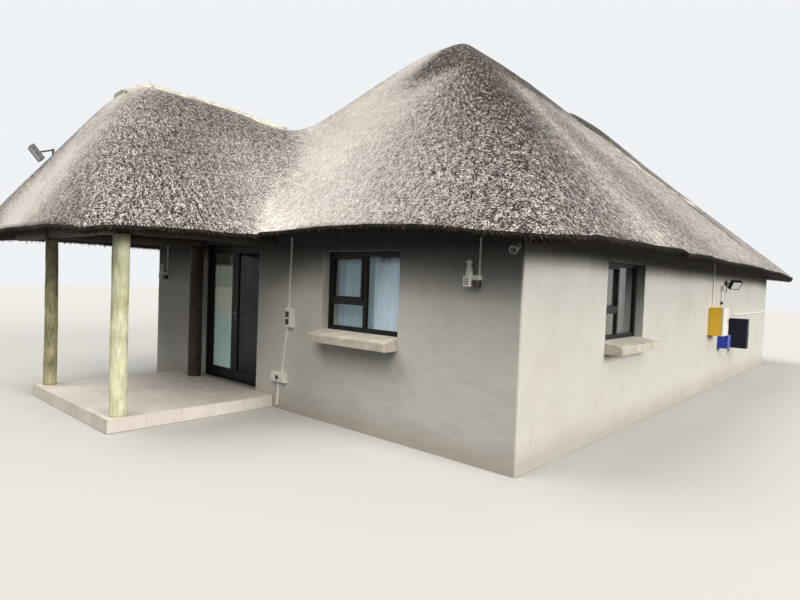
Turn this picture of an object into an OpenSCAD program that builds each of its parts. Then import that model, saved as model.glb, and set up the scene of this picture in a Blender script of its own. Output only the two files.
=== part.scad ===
/* [Walls] */
// Outside width of the house, left to right
room_w = 6800; // [6400:100:7400]
// Outside depth of the main room, front to back
room_d = 6800; // [6400:100:7400]
// Depth of the rear room behind the main room
rear_d = 4700; // [4400:100:5400]
// Thickness of the plastered walls
wall_t = 250; // [200:10:300]
// Height of the floors above the ground
floor_h = 150; // [100:10:200]
// How far the wall heads reach up into the thatch
wall_seat = 20; // [10:5:40]

/* [Windows] */
// Width of a window opening
win_w = 1200; // [900:50:1300]
// Height of a window opening
win_h = 900; // [800:50:950]
// Height of the window sills above the ground
win_z = 1070; // [1000:10:1100]
// Middle of the front window, from the middle of the room
front_win_x = 1385; // [1200:5:1800]
// Middle of the side window, from the middle of the room
side_win_y = -975; // [-1400:5:600]
// How far frames are set back from the outer wall face
frame_back = 100; // [60:5:120]
// Width of the frame bars seen from the front
bar_w = 45; // [35:5:60]
// Depth of the frame bars
bar_d = 50; // [40:5:70]
// Width of the opening sash's bars
sash_w = 32; // [25:1:40]
// Height of the transom under the opening sash, from the opening's foot
transom_z = 330; // [250:10:450]
// Thickness of the glass
glass_t = 6; // [4:1:10]
// How far the concrete sills stand out from the wall
sill_out = 200; // [120:10:240]
// Thickness of the sills
sill_t = 95; // [70:5:120]
// Fall of the sill's top over its depth
sill_fall = 40; // [20:5:60]

/* [Door] */
// Width of the doorway
door_w = 1490; // [1400:10:1700]
// Height of the doorway above the floor
door_h = 1950; // [1900:10:2000]
// Right side of the doorway, from the middle of the room
door_right = -500; // [-700:10:-300]
// Width of the leaf stiles and top rail
stile_w = 70; // [55:5:90]
// Height of the leaf's bottom rail
kick_h = 110; // [80:5:160]
// Thickness of the leaves
leaf_t = 40; // [35:1:50]
// Gap round and between the leaves
leaf_gap = 8; // [7:1:10]
// Opening angle of the leaves, for viewing
leaf_open = 0; // [0:5:90]

/* [Porch] */
// Diameter of the right gum post
right_post_d = 175; // [150:5:220]
// Diameter of the left gum post
left_post_d = 150; // [130:5:200]
// Middle of the right post
right_post_x = -210; // [-400:10:0]
// Middle of the left post
left_post_x = -2400; // [-2700:10:-2200]
// How far the posts stand in front of the wall
post_out = 1860; // [1700:10:2000]
// Diameter of the beams
beam_d = 150; // [120:10:160]
// Height of the beams' underside
beam_z = 2040; // [1980:10:2060]
// Diameter of the pole beside the door
door_post_d = 190; // [150:10:220]
// Middle of the pole beside the door, from the doorway's left side
door_post_in = 30; // [0:10:60]

/* [Fittings] */
// Diameter of the plastic conduits
conduit_d = 25; // [16:1:32]
// Height of the switch box's foot
switch_z = 1040; // [900:10:1300]
// Height of the socket box's foot
socket_z = 340; // [200:10:500]
// How far the yellow meter box stands out
meter_out = 225; // [150:5:260]
// Height of the yellow meter box's foot
meter_z = 940; // [800:10:1200]
// Height of the yellow meter box
meter_h = 470; // [350:10:600]
// Height of the corner lamp's foot
lamp_z = 1630; // [1500:10:1700]

/* [Thatch] */
// How far the front and side eaves stand out from the walls
eave_out = 500; // [400:10:600]
// How far the rear eave stands out from the wall
rear_eave_out = 350; // [300:10:450]
// Height of the eave's outer edge
eave_z = 2120; // [2080:10:2160]
// How far the eave droops at a corner
eave_droop = 80; // [0:10:120]
// How far the eave lifts over the middle of the front
front_lift = 85; // [0:5:100]
// Thickness of the thatch, measured straight down
thatch_t = 300; // [240:10:340]
// How far the eave's cut leans in
eave_cut = 140; // [80:10:180]
// Roundness of the hips at the eaves, where 10 is nearly square
hip_foot = 16; // [6:1:20]

/* [Main roof] */
// Height of the main ridge
main_ridge_z = 5620; // [5300:10:5800]
// Middle of the main ridge
main_ridge_x = 20; // [-200:10:300]
// Width of the rounded top of the main ridge
main_ridge_w = 100; // [50:10:400]
// Front end of the main ridge, behind the front wall
main_ridge_in = 3430; // [3200:10:3600]
// Length of the main ridge
main_ridge_l = 270; // [200:10:600]
// Depth of the main hump from its front eave
main_hump_l = 10400; // [9800:50:10800]
// Softness of the top of the main hump
main_soft = 0.11; // [0.05:0.01:0.2]
// Roundness of the main hips near the top, where 2 is round
main_hips = 5; // [3:0.5:6]
// Blend between the main and the rear hump
rear_blend = 250; // [150:10:500]

/* [Rear roof] */
// Height of the rear ridge
rear_ridge_z = 5140; // [4900:10:5250]
// Middle of the rear ridge
rear_ridge_x = 470; // [300:10:700]
// Width of the rounded top of the rear ridge
rear_ridge_w = 300; // [100:10:500]
// Rear end of the rear ridge, in front of the rear wall
rear_ridge_in = 4500; // [4300:10:4700]
// Length of the rear ridge
rear_ridge_l = 600; // [300:10:900]
// Depth of the rear hump from its rear eave
rear_hump_l = 10320; // [9900:20:10700]
// Softness of the top of the rear hump
rear_soft = 0.08; // [0.05:0.01:0.2]
// Roundness of the rear hips near the top, where 2 is round
rear_hips = 2; // [2:0.5:4]

/* [Porch roof] */
// Height of the porch ridge
porch_ridge_z = 4360; // [4200:10:4500]
// Middle of the porch ridge
porch_ridge_x = -2670; // [-2800:10:-2500]
// Front end of the porch ridge, behind the porch's front eave
porch_ridge_in = 1790; // [1600:10:1950]
// Length of the porch ridge
porch_ridge_l = 1000; // [800:10:1400]
// How far the front eave stands out from the posts
porch_eave_out = 540; // [400:10:600]
// Right eave of the porch, from the middle of the room
porch_right_x = 250; // [0:10:400]
// Left eave of the porch, out from the left wall
porch_left_out = 850; // [600:10:900]
// Depth of the porch hump from its front eave
porch_hump_l = 7290; // [6900:10:7600]
// Softness of the top of the porch hump
porch_soft = 0.24; // [0.1:0.01:0.3]
// Roundness of the porch hips near the top, where 2 is round
porch_hips = 3.7; // [2:0.1:5]
// Blend between the porch and the main hump
porch_blend = 700; // [500:10:1100]
// Width of the mortar ridge cap
cap_w = 560; // [400:10:700]
// Thickness of the ridge cap
cap_t = 70; // [50:5:100]

/* [Hidden] */
$fn = 48;

// Plan lines of the walls
half_w = room_w / 2;
half_d = room_d / 2;
back_y = half_d + rear_d;
door_left = door_right - door_w;
post_y = -half_d - post_out;

// Humps: ridge rectangle, ridge height, eave rectangle, softness and roundness of the hips
main_front = -half_d - eave_out;
main_hump = [main_ridge_x - main_ridge_w / 2, main_ridge_x + main_ridge_w / 2,
    -half_d + main_ridge_in, -half_d + main_ridge_in + main_ridge_l, main_ridge_z,
    -half_w - eave_out, half_w + eave_out, main_front, main_front + main_hump_l, main_soft, main_hips];
rear_back = back_y + rear_eave_out;
rear_hump = [rear_ridge_x - rear_ridge_w / 2, rear_ridge_x + rear_ridge_w / 2,
    back_y - rear_ridge_in - rear_ridge_l, back_y - rear_ridge_in, rear_ridge_z,
    -half_w - eave_out, half_w + eave_out, rear_back - rear_hump_l, rear_back, rear_soft, rear_hips];
porch_front = post_y - porch_eave_out;
porch_hump = [porch_ridge_x, porch_ridge_x, porch_front + porch_ridge_in,
    porch_front + porch_ridge_in + porch_ridge_l, porch_ridge_z,
    -half_w - porch_left_out, porch_right_x, porch_front, porch_front + porch_hump_l, porch_soft,
    porch_hips];

// Share of the way from a ridge to its eave along one axis
function share(v, r0, r1, e0, e1) =
    v > r1 ? (v - r1) / (e1 - r1) : v < r0 ? (r0 - v) / (r0 - e0) : 0;
function share_x(h, x) = share(x, h[0], h[1], h[5], h[6]);
function share_y(h, y) = share(y, h[2], h[3], h[7], h[8]);
// Both shares joined, with hips that turn from round to square on the way down
function joined(a, b, top) = let (m = max(a, b), n = min(a, b), p = top + (hip_foot - top) * pow(m, 3))
    m == 0 ? 0 : m * pow(1 + pow(n / m, p), 1 / p);
function fall(t, s) = (sqrt(t * t + s * s) - s) / (sqrt(1 + s * s) - s);
function hump_z(h, x, y) =
    eave_z + (h[4] - eave_z) * (1 - fall(joined(share_x(h, x), share_y(h, y), h[10]), h[9]));
// The higher of two surfaces, with the valley between them filled softly
function soft_max(a, b, k) = let (g = max(k - abs(a - b), 0) / k) max(a, b) + g * g * k / 4;
function roof_z(x, y) = soft_max(soft_max(hump_z(main_hump, x, y), hump_z(rear_hump, x, y), rear_blend),
    hump_z(porch_hump, x, y), porch_blend);
// How square to a corner a point stands, 0 along a side and 1 on the hip
function hip_share(h, x, y) = let (a = share_x(h, x), b = share_y(h, y))
    max(a, b) == 0 ? 0 : pow(min(a, b) / max(a, b), 4);
// How far the eave lifts at a point of the front, most in the middle of the right half
lift_x = half_w / 2;
function lift(x, y) = y > -half_d + eave_out ? 0 : front_lift * max(1 - pow((x - lift_x) / lift_x, 2), 0);
function edge_z(x, y) = let (
        zm = hump_z(main_hump, x, y), zr = hump_z(rear_hump, x, y), zp = hump_z(porch_hump, x, y),
        top = max(zm, zr, zp))
    eave_z + (top == zm ? lift(x, y) - eave_droop * hip_share(main_hump, x, y)
        : top == zr ? -eave_droop * hip_share(rear_hump, x, y)
        : -eave_droop * hip_share(porch_hump, x, y));

// Lines that part the three thatched humps: a point and a normal that looks away from the hump
rear_line_y = half_d - 1100;
notch = [porch_right_x + 185, -half_d - 680];
left_end_out = 700;
left_end_in = 4500;
left_end = [-half_w - left_end_out, -half_d + left_end_in];
valley_dir = (left_end - notch) / norm(left_end - notch);
valley_out = [valley_dir[1], -valley_dir[0]];
main_mid = [main_ridge_x, main_hump[2] + main_ridge_l / 2];
rear_mid = [rear_ridge_x, rear_hump[3] - rear_ridge_l / 2];
porch_mid = [porch_ridge_x, porch_hump[2] + 100];
// Play between the porch thatch and the main thatch along their parting line
parting = 0.2;
main_cuts = [[[0, rear_line_y], [0, 1]], [notch, -valley_out]];
rear_cuts = [[[0, rear_line_y], [0, -1]]];
porch_cuts = [[notch - parting * valley_out, valley_out]];
far_out = 12000;
reach_min = 100;
reach_max = 7000;
reach_steps = 22;

function ray(c, a, r) = c + r * [cos(a), sin(a)];
// Distance from c along angle a to the first parting line, or far out
function cut_r(c, a, cuts, i = 0) = i >= len(cuts) ? far_out :
    let (d = [cos(a), sin(a)] * cuts[i][1], g = (cuts[i][0] - c) * cuts[i][1])
    min(d > 0.0001 ? g / d : far_out, cut_r(c, a, cuts, i + 1));
// Distance from c along angle a to the eave, by halving
function eave_r(c, a, lo, hi, n) = let (m = (lo + hi) / 2, p = ray(c, a, m))
    n == 0 ? m : roof_z(p[0], p[1]) > edge_z(p[0], p[1]) ? eave_r(c, a, m, hi, n - 1)
        : eave_r(c, a, lo, m, n - 1);
function rim(c, a, cuts) = let (r = cut_r(c, a, cuts), p = ray(c, a, r))
    (r < far_out && roof_z(p[0], p[1]) > edge_z(p[0], p[1])) ? [r, false]
        : [eave_r(c, a, reach_min, min(r, reach_max), reach_steps), true];

// Angles that divide each stretch between two stops evenly
function spread(stops, parts) = concat(
    [for (k = [0:len(stops) - 2]) for (i = [0:parts[k] - 1])
        stops[k] + (stops[k + 1] - stops[k]) * i / parts[k]],
    [stops[len(stops) - 1]]);

// One sector of a thatched hump: outer skin, underside, eave cut and side faces
module thatch_sector(c, cuts, stops, parts, rings = 11) {
    angles = spread(stops, parts);
    steps = len(angles) - 1;
    rims = [for (a = angles) rim(c, a, cuts)];
    top = [for (i = [0:steps]) for (j = [1:rings])
        let (p = ray(c, angles[i], rims[i][0] * j / rings)) [p[0], p[1], roof_z(p[0], p[1])]];
    low = [for (i = [0:steps]) for (j = [1:rings])
        let (r = rims[i][0] - (rims[i][1] ? eave_cut : 0), p = ray(c, angles[i], r * j / rings))
        [p[0], p[1], roof_z(p[0], p[1]) - thatch_t]];
    mid_z = roof_z(c[0], c[1]);
    n = (steps + 1) * rings;
    pts = concat(top, low, [[c[0], c[1], mid_z], [c[0], c[1], mid_z - thatch_t]]);
    t0 = 2 * n;
    l0 = 2 * n + 1;
    faces = concat(
        [for (i = [0:steps - 1]) [t0, (i + 1) * rings, i * rings]],
        [for (i = [0:steps - 1]) for (j = [0:rings - 2]) let (a = i * rings + j, b = a + rings)
            each [[a, b, a + 1], [b, b + 1, a + 1]]],
        [for (i = [0:steps - 1]) [l0, n + i * rings, n + (i + 1) * rings]],
        [for (i = [0:steps - 1]) for (j = [0:rings - 2]) let (a = n + i * rings + j, b = a + rings)
            each [[a, a + 1, b], [b, a + 1, b + 1]]],
        [for (i = [0:steps - 1]) let (a = i * rings + rings - 1, b = a + rings)
            each [[a, b, n + a], [b, n + b, n + a]]],
        side_faces(0, rings, n, t0, l0, false),
        side_faces(steps * rings, rings, n, t0, l0, true));
    polyhedron(pts, faces, convexity = 6);
}

function turned(f, flip) = flip ? [f[2], f[1], f[0]] : f;
function side_faces(s, rings, n, t0, l0, flip) = concat(
    [turned([t0, s, l0], flip), turned([s, n + s, l0], flip)],
    [for (j = [0:rings - 2]) each [turned([s + j, s + j + 1, n + s + j], flip),
        turned([s + j + 1, n + s + j + 1, n + s + j], flip)]]);

// Angle from c to p
function aim(c, p) = let (a = atan2(p[1] - c[1], p[0] - c[0])) a < -90 ? a + 360 : a;
// Where a line from p, under the roof, to q, outside it, crosses the eave
function eave_on(p, q, n = reach_steps) = let (m = (p + q) / 2)
    n == 0 ? m : roof_z(m[0], m[1]) > edge_z(m[0], m[1]) ? eave_on(m, q, n - 1) : eave_on(p, m, n - 1);
rear_cut_mid = [0, rear_line_y];
rear_cut_right = eave_on(rear_cut_mid, [half_w + 2 * eave_out, rear_line_y]);
rear_cut_left = eave_on(rear_cut_mid, [porch_hump[5] - eave_out, rear_line_y]);
valley_mid = (notch + left_end) / 2;
valley_right = eave_on(valley_mid, notch - eave_out * valley_dir);
valley_left = eave_on(valley_mid, left_end + eave_out * valley_dir);
main_hip = aim(main_mid, [half_w + eave_out, main_front]);
main_notch = atan2(valley_right[1] - main_mid[1], valley_right[0] - main_mid[0]) + 360;
rear_hip_right = aim(rear_mid, [half_w + eave_out, rear_back]);
rear_hip_left = aim(rear_mid, [rear_hump[5], rear_back]);
porch_hip_right = aim(porch_mid, [porch_right_x, porch_front]);
porch_hip_left = aim(porch_mid, [porch_hump[5], porch_front]);

thatch_colour = "#b3aaa2";
module main_thatch_right() color(thatch_colour) seated()
    thatch_sector(main_mid, main_cuts, [main_hip, aim(main_mid, rear_cut_right), 90], [14, 8]);
module main_thatch_front() color(thatch_colour) seated()
    thatch_sector(main_mid, main_cuts, [main_notch - 360, main_hip], [20]);
module main_thatch_left() color(thatch_colour) seated() main_left_blank();
module main_left_blank()
    thatch_sector(main_mid, main_cuts,
        [90, aim(main_mid, rear_cut_left), aim(main_mid, valley_left), main_notch], [8, 3, 16]);
module rear_thatch_right() color(thatch_colour) seated()
    thatch_sector(rear_mid, rear_cuts, [-90, aim(rear_mid, rear_cut_right), rear_hip_right], [9, 14]);
module rear_thatch_back() color(thatch_colour) seated()
    thatch_sector(rear_mid, rear_cuts, [rear_hip_right, rear_hip_left], [16]);
module rear_thatch_left() color(thatch_colour) seated()
    thatch_sector(rear_mid, rear_cuts, [rear_hip_left, aim(rear_mid, rear_cut_left), 270], [14, 9]);
module porch_right_blank()
    thatch_sector(porch_mid, porch_cuts, [porch_hip_right, aim(porch_mid, valley_right), 90], [9, 10]);
module porch_front_blank()
    thatch_sector(porch_mid, porch_cuts, [porch_hip_left, 360 + porch_hip_right], [16]);
module porch_left_blank()
    thatch_sector(porch_mid, porch_cuts, [90, aim(porch_mid, valley_left), porch_hip_left], [12, 9]);
module porch_thatch_right() color(thatch_colour) seated() bedded() porch_right_blank();
module porch_thatch_front() color(thatch_colour) seated() bedded() porch_front_blank();
module porch_thatch_left() color(thatch_colour) seated() bedded() porch_left_blank();
// Thatch with the beams and the roof lamp's foot let into it
module bedded() difference() {
    children();
    beam_blank();
    roof_lamp_foot();
}

// Mortar cap along the porch ridge: a path in plan, raised on the thatch
cap_path = [[0, -350], [0, 0], [0, 350], [0, 700], [0, 1000], [60, 1300], [190, 1600], [380, 1870],
    [620, 2120]];
cap_across = [-1, -0.6, 0, 0.6, 1];
cap_n = len(cap_path);
function cap_point(i) = [porch_ridge_x, porch_hump[2]] + cap_path[i];
function cap_dir(i) = let (d = cap_point(min(i + 1, cap_n - 1)) - cap_point(max(i - 1, 0))) d / norm(d);
function cap_spot(i, u) = cap_point(i) + u * cap_w / 2 * [cap_dir(i)[1], -cap_dir(i)[0]];
module porch_ridge_cap() color("#cfc6b4") difference() {
    ridge_cap_blank();
    porch_right_blank();
    porch_front_blank();
    porch_left_blank();
    main_left_blank();
}
module ridge_cap_blank() {
    k = len(cap_across);
    top = [for (i = [0:cap_n - 1]) for (u = cap_across) let (p = cap_spot(i, u))
        [p[0], p[1], roof_z(p[0], p[1]) + 15 + cap_t * (1 - u * u)]];
    low = [for (i = [0:cap_n - 1]) for (u = cap_across) let (p = cap_spot(i, u))
        [p[0], p[1], roof_z(p[0], p[1]) - 90]];
    n = cap_n * k;
    polyhedron(concat(top, low), concat(
        [for (i = [0:cap_n - 2]) for (j = [0:k - 2]) let (a = i * k + j, b = a + k)
            each [[a, b, a + 1], [b, b + 1, a + 1],
                [n + a, n + a + 1, n + b], [n + b, n + a + 1, n + b + 1]]],
        [for (i = [0:cap_n - 2]) let (a = i * k, b = a + k)
            each [[a, n + a, b], [n + a, n + b, b]]],
        [for (i = [0:cap_n - 2]) let (a = i * k + k - 1, b = a + k)
            each [[a, b, n + a], [n + a, b, n + b]]],
        [for (j = [0:k - 2]) each [[j, j + 1, n + j], [n + j, j + 1, n + j + 1]]],
        [for (j = [0:k - 2]) let (a = (cap_n - 1) * k + j)
            each [[a, n + a, a + 1], [n + a, n + a + 1, a + 1]]]), convexity = 4);
}

// Walls: heads follow the underside of the thatch, which beds on them
head_step = 340;
function head_z(x, y) = roof_z(x, y) - thatch_t + wall_seat;
function head_line(a, b) = let (n = ceil((b - a) / head_step)) [for (i = [n:-1:0]) a + (b - a) * i / n];
// A wall along X, from x0 to x1, with its outer face at y_out and its low corner at y_min
module wall_along_x(x0, x1, y_out, y_min, foot = 0) translate([0, y_min + wall_t, 0]) rotate([90, 0, 0])
    linear_extrude(wall_t)
        polygon(concat([[x0, foot], [x1, foot]], [for (x = head_line(x0, x1)) [x, head_z(x, y_out)]]));
// A wall along Y, from y0 to y1, with its outer face at x_out and its low corner at x_min
module wall_along_y(y0, y1, x_out, x_min) translate([x_min, 0, 0]) rotate([90, 0, 90])
    linear_extrude(wall_t)
        polygon(concat([[y0, 0], [y1, 0]], [for (y = head_line(y0, y1)) [y, head_z(x_out, y)]]));
module seated() difference() {
    children();
    front_right_blank();
    front_left_blank();
    lintel_blank();
    side_blank();
    rear_side_blank();
    rear_blank();
    rear_left_blank();
    left_blank();
}
front_y = -half_d;
front_in = front_y + wall_t;
side_in = half_w - wall_t;
module front_right_blank() wall_along_x(door_right, half_w, front_y, front_y);
module front_left_blank() wall_along_x(-half_w, door_left, front_y, front_y);
module lintel_blank() wall_along_x(door_left, door_right, front_y, front_y, floor_h + door_h);
module side_blank() wall_along_y(front_in, half_d, half_w, side_in);
module rear_side_blank() wall_along_y(half_d, back_y, half_w, side_in);
module rear_blank() wall_along_x(-half_w, side_in, back_y, back_y - wall_t);
module rear_left_blank() wall_along_y(half_d, back_y - wall_t, -half_w, -half_w);
module left_blank() wall_along_y(front_in, half_d, -half_w, -half_w);

// A box between two corners
module box(a, b) translate(a) cube(b - a);

hole_over = 1;
shade_plaster = "#96908a";
lit_plaster = "#d0c9bb";

module front_wall_right() color(shade_plaster) difference() {
    front_right_blank();
    box([front_win_x - win_w / 2, front_y - hole_over, win_z],
        [front_win_x + win_w / 2, front_in + hole_over, win_z + win_h]);
}
module front_wall_left() color(shade_plaster) front_left_blank();
module door_lintel() color(shade_plaster) lintel_blank();
module side_wall() color(lit_plaster) difference() {
    side_blank();
    box([side_in - hole_over, side_win_y - win_w / 2, win_z],
        [half_w + hole_over, side_win_y + win_w / 2, win_z + win_h]);
}
module rear_side_wall() color(lit_plaster) rear_side_blank();
rear_win_x = 0;
module rear_wall() color(lit_plaster) difference() {
    rear_blank();
    box([rear_win_x - win_w / 2, back_y - wall_t - hole_over, win_z],
        [rear_win_x + win_w / 2, back_y + hole_over, win_z + win_h]);
}
module rear_left_wall() color(lit_plaster) rear_left_blank();
left_win_y = side_win_y + 1200;
module left_wall() color(lit_plaster) difference() {
    left_blank();
    box([-half_w - hole_over, left_win_y - win_w / 2, win_z],
        [-half_w + wall_t + hole_over, left_win_y + win_w / 2, win_z + win_h]);
}
module house_floor() color("#b9b2a6") union() {
    box([-half_w + wall_t, front_in, 0], [side_in, back_y - wall_t, floor_h]);
    box([door_left, front_y, 0], [door_right, front_in, floor_h]);
}
slab_left = left_post_x - 130;
slab_right = right_post_x + 100;
slab_front = post_y - 150;
module porch_floor() color("#cfc8c0")
    box([slab_left, slab_front, 0], [slab_right, front_y, floor_h]);

// A window, seen from outside with its opening's foot at the origin and the wall behind it in +Y
mull_x = win_w / 2;
module window_frame() difference() {
    translate([0, frame_back, 0]) cube([win_w, bar_d, win_h]);
    pane_hole(bar_w, mull_x - bar_w / 2, bar_w, transom_z - bar_w / 2);
    pane_hole(bar_w + sash_w, mull_x - bar_w / 2 - sash_w, transom_z + bar_w / 2 + sash_w,
        win_h - bar_w - sash_w);
    pane_hole(mull_x + bar_w / 2, win_w - bar_w, bar_w, win_h - bar_w);
}
module pane_hole(x0, x1, z0, z1)
    box([x0, frame_back - hole_over, z0], [x1, frame_back + bar_d + hole_over, z1]);
glass_y = frame_back + bar_d / 2;
module panes() {
    pane(bar_w, mull_x - bar_w / 2, bar_w, transom_z - bar_w / 2);
    pane(bar_w + sash_w, mull_x - bar_w / 2 - sash_w, transom_z + bar_w / 2 + sash_w,
        win_h - bar_w - sash_w);
    pane(mull_x + bar_w / 2, win_w - bar_w, bar_w, win_h - bar_w);
}
module pane(x0, x1, z0, z1) box([x0, glass_y - glass_t / 2, z0], [x1, glass_y + glass_t / 2, z1]);
module window_sill() translate([0, -sill_out, 0]) rotate([90, 0, 90])
    linear_extrude(win_w) polygon([[0, -sill_fall - sill_t], [sill_out, -sill_fall - sill_t],
        [sill_out, 0], [0, -sill_fall]]);
module at_front_window() translate([front_win_x - win_w / 2, front_y, win_z]) children();
module at_side_window() translate([half_w, side_win_y - win_w / 2, win_z]) rotate(90) children();
module at_rear_window() translate([rear_win_x + win_w / 2, back_y, win_z]) rotate(180) children();
module at_left_window() translate([-half_w, left_win_y + win_w / 2, win_z]) rotate(-90) children();

frame_colour = "#2b2622";
module window_frames() color(frame_colour) {
    at_front_window() window_frame();
    at_side_window() window_frame();
    at_rear_window() window_frame();
    at_left_window() window_frame();
}
module window_glass() color("#9fb6c8") {
    at_front_window() panes();
    at_side_window() panes();
    at_rear_window() panes();
    at_left_window() panes();
}
module window_sills() color("#b8b0a0") {
    at_front_window() window_sill();
    at_side_window() window_sill();
    at_rear_window() window_sill();
    at_left_window() window_sill();
}
curtain_t = 40;
curtain_over = 60;
module curtain() box([-curtain_over, wall_t, -curtain_over],
    [win_w + curtain_over, wall_t + curtain_t, win_h + curtain_over]);
module window_curtains() color("#d4dbe6") {
    at_front_window() curtain();
    at_side_window() curtain();
}

// Door: frame, two leaves that swing in, their glass and half curtains
door_back = front_y + frame_back;
leaf_back = door_back + 10;
leaf_w = (door_w - 2 * bar_w - 3 * leaf_gap) / 2;
leaf_foot = floor_h + 30 + leaf_gap;
leaf_head = floor_h + door_h - bar_w - leaf_gap;
module door_frame() color(frame_colour) translate([door_left, door_back, floor_h]) difference() {
    cube([door_w, leaf_t + 20, door_h]);
    translate([bar_w, -hole_over, 30]) cube([door_w - 2 * bar_w, leaf_t + 22, door_h - bar_w - 30]);
}
left_hinge = [door_left + bar_w + leaf_gap, leaf_back + leaf_t];
right_hinge = [door_right - bar_w - leaf_gap, leaf_back + leaf_t];
module at_left_leaf() translate([left_hinge[0], left_hinge[1], 0]) rotate(leaf_open) children();
module at_right_leaf() translate([right_hinge[0], right_hinge[1], 0]) rotate(-leaf_open)
    mirror([1, 0, 0]) children();
hinge_play = 0.3;
hinge_h = 90;
hinge_in = 200;
module leaf_frame() union() {
    difference() {
        box([0, -leaf_t, leaf_foot], [leaf_w, 0, leaf_head]);
        box([stile_w, -leaf_t - hole_over, leaf_foot + kick_h],
            [leaf_w - stile_w, hole_over, leaf_head - stile_w]);
    }
    for (z = [leaf_foot + hinge_in, (leaf_foot + leaf_head) / 2, leaf_head - hinge_in])
        translate([0, 0, z - hinge_h / 2]) cylinder(r = leaf_gap - hinge_play, h = hinge_h);
}
module leaf_glass() box([stile_w, -leaf_t / 2 - glass_t / 2, leaf_foot + kick_h],
    [leaf_w - stile_w, -leaf_t / 2 + glass_t / 2, leaf_head - stile_w]);
leaf_curtain_t = 18;
leaf_curtain_over = 10;
module leaf_curtain() box([stile_w - leaf_curtain_over, 0, leaf_foot + kick_h - leaf_curtain_over],
    [leaf_w - stile_w + leaf_curtain_over, leaf_curtain_t, leaf_head - stile_w + leaf_curtain_over]);
module left_leaf_frame() color(frame_colour) at_left_leaf() leaf_frame();
module left_leaf_glass() color("#9fb6c8") at_left_leaf() leaf_glass();
module left_leaf_curtain() color("#d9d2bd") at_left_leaf() leaf_curtain();
module right_leaf_frame() color(frame_colour) at_right_leaf() leaf_frame();
module right_leaf_glass() color("#9fb6c8") at_right_leaf() leaf_glass();
module right_leaf_curtain() color("#5c6c86") at_right_leaf() leaf_curtain();
handle_z = 1120;
module lever(side) translate([leaf_w - stile_w / 2, side > 0 ? 0 : -leaf_t, handle_z]) {
    translate([-20, side > 0 ? 0 : -8, -110]) cube([40, 8, 160]);
    rotate([side > 0 ? -90 : 90, 0, 0]) cylinder(d = 18, h = 45);
    translate([-110, side > 0 ? 40 : -52, -9]) cube([119, 12, 18]);
}
module door_handles() color("#1c1a18") at_right_leaf() {
    lever(1);
    lever(-1);
}

// Gum poles
pole_colour = "#bcb99a";
module pole(d, h) cylinder(d = d, h = h);
door_post = [door_left + door_post_in, front_y - door_post_d / 2];
module porch_posts() color(pole_colour) {
    translate([left_post_x, post_y, floor_h]) pole(left_post_d, beam_z - floor_h);
    translate([right_post_x, post_y, floor_h]) pole(right_post_d, beam_z - floor_h);
    translate([door_post[0], door_post[1], floor_h]) pole(door_post_d, beam_z - floor_h);
}
beam_left = porch_hump[5] + 450;
left_post = [left_post_x, post_y];
// A lying pole between two points in plan, run on past each by its own amount
module beam(p, q, past_p, past_q) let (d = q - p) translate([p[0], p[1], beam_z + beam_d / 2])
    rotate([0, 90, atan2(d[1], d[0])]) translate([0, 0, -past_p]) pole(beam_d, norm(d) + past_p + past_q);
module porch_beams() color(pole_colour) beam_blank();
module beam_blank() union() {
    beam([beam_left, post_y], [right_post_x, post_y], 0, 0);
    beam([right_post_x, post_y], [right_post_x, front_y], beam_d / 2, 0);
    beam(left_post, door_post, beam_d / 2, beam_d / 2);
}

// A round bar between two points
module rod(p, q, d) let (v = q - p, l = norm(v)) translate(p)
    rotate([0, acos(v[2] / l), atan2(v[1], v[0])]) cylinder(d = d, h = l);

// Conduits lie flat against the walls, with their backs cut flush
conduit_y = front_y - conduit_d * 0.4;
conduit_x = half_w + conduit_d * 0.4;
switch_x = 190;
switch_w = 180;
switch_h = 240;
socket_x = 30;
socket_h = 120;
meter_y = half_d - 570;
pipe_z = 1250;
pipe_from = half_d + 1250;
switch_top = switch_z + switch_h;
socket_top = socket_z + socket_h;
// Heights at which conduits run into the thatch
eave_head = eave_z + 30;
corner_head = eave_z + 80;
module on_front(p, q) difference() {
    rod(p, q, conduit_d);
    box([-500, front_y, 0], [500, front_in, 2500]);
    box([-500, front_y - 100, switch_z], [500, front_y, switch_top]);
    box([-500, front_y - 100, socket_z], [500, front_y, socket_top]);
}
module on_side(p, q) difference() {
    rod(p, q, conduit_d);
    box([side_in, 0, 0], [half_w, back_y, 2500]);
}
module wall_conduits() color("#e4e4de") {
    on_front([205, conduit_y, eave_head], [180, conduit_y, switch_top - 5]);
    on_front([165, conduit_y, switch_z + 5], [70, conduit_y, socket_top - 5]);
    on_front([10, conduit_y, socket_z + 5], [-20, conduit_y, 40]);
    on_side([conduit_x, half_d - 380, eave_head], [conduit_x, half_d - 380, meter_z + meter_h]);
    on_side([conduit_x, half_d + 225, 1700], [conduit_x, half_d + 225, 920]);
    on_side([conduit_x, pipe_from, pipe_z], [conduit_x, back_y - 60, pipe_z]);
}
box_out = 48;
module switch_boxes() color("#e9e9e4") {
    union() {
        box([switch_x - switch_w / 2, front_y - box_out, switch_z],
            [switch_x + switch_w / 2, front_y, switch_top]);
        for (z = [switch_z + 65, switch_top - 65])
            translate([switch_x, front_y - box_out - 8, z]) rotate([-90, 0, 0]) cylinder(d = 50, h = 9);
    }
    union() {
        box([socket_x - 130, front_y - box_out - 10, socket_z], [socket_x + 130, front_y, socket_top]);
        translate([socket_x, front_y - box_out - 14, socket_z + socket_h / 2]) rotate([-90, 0, 0])
            cylinder(d = 55, h = 9);
    }
    box([half_w, half_d + 180, 1700], [half_w + 60, half_d + 270, 1790]);
}
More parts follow.
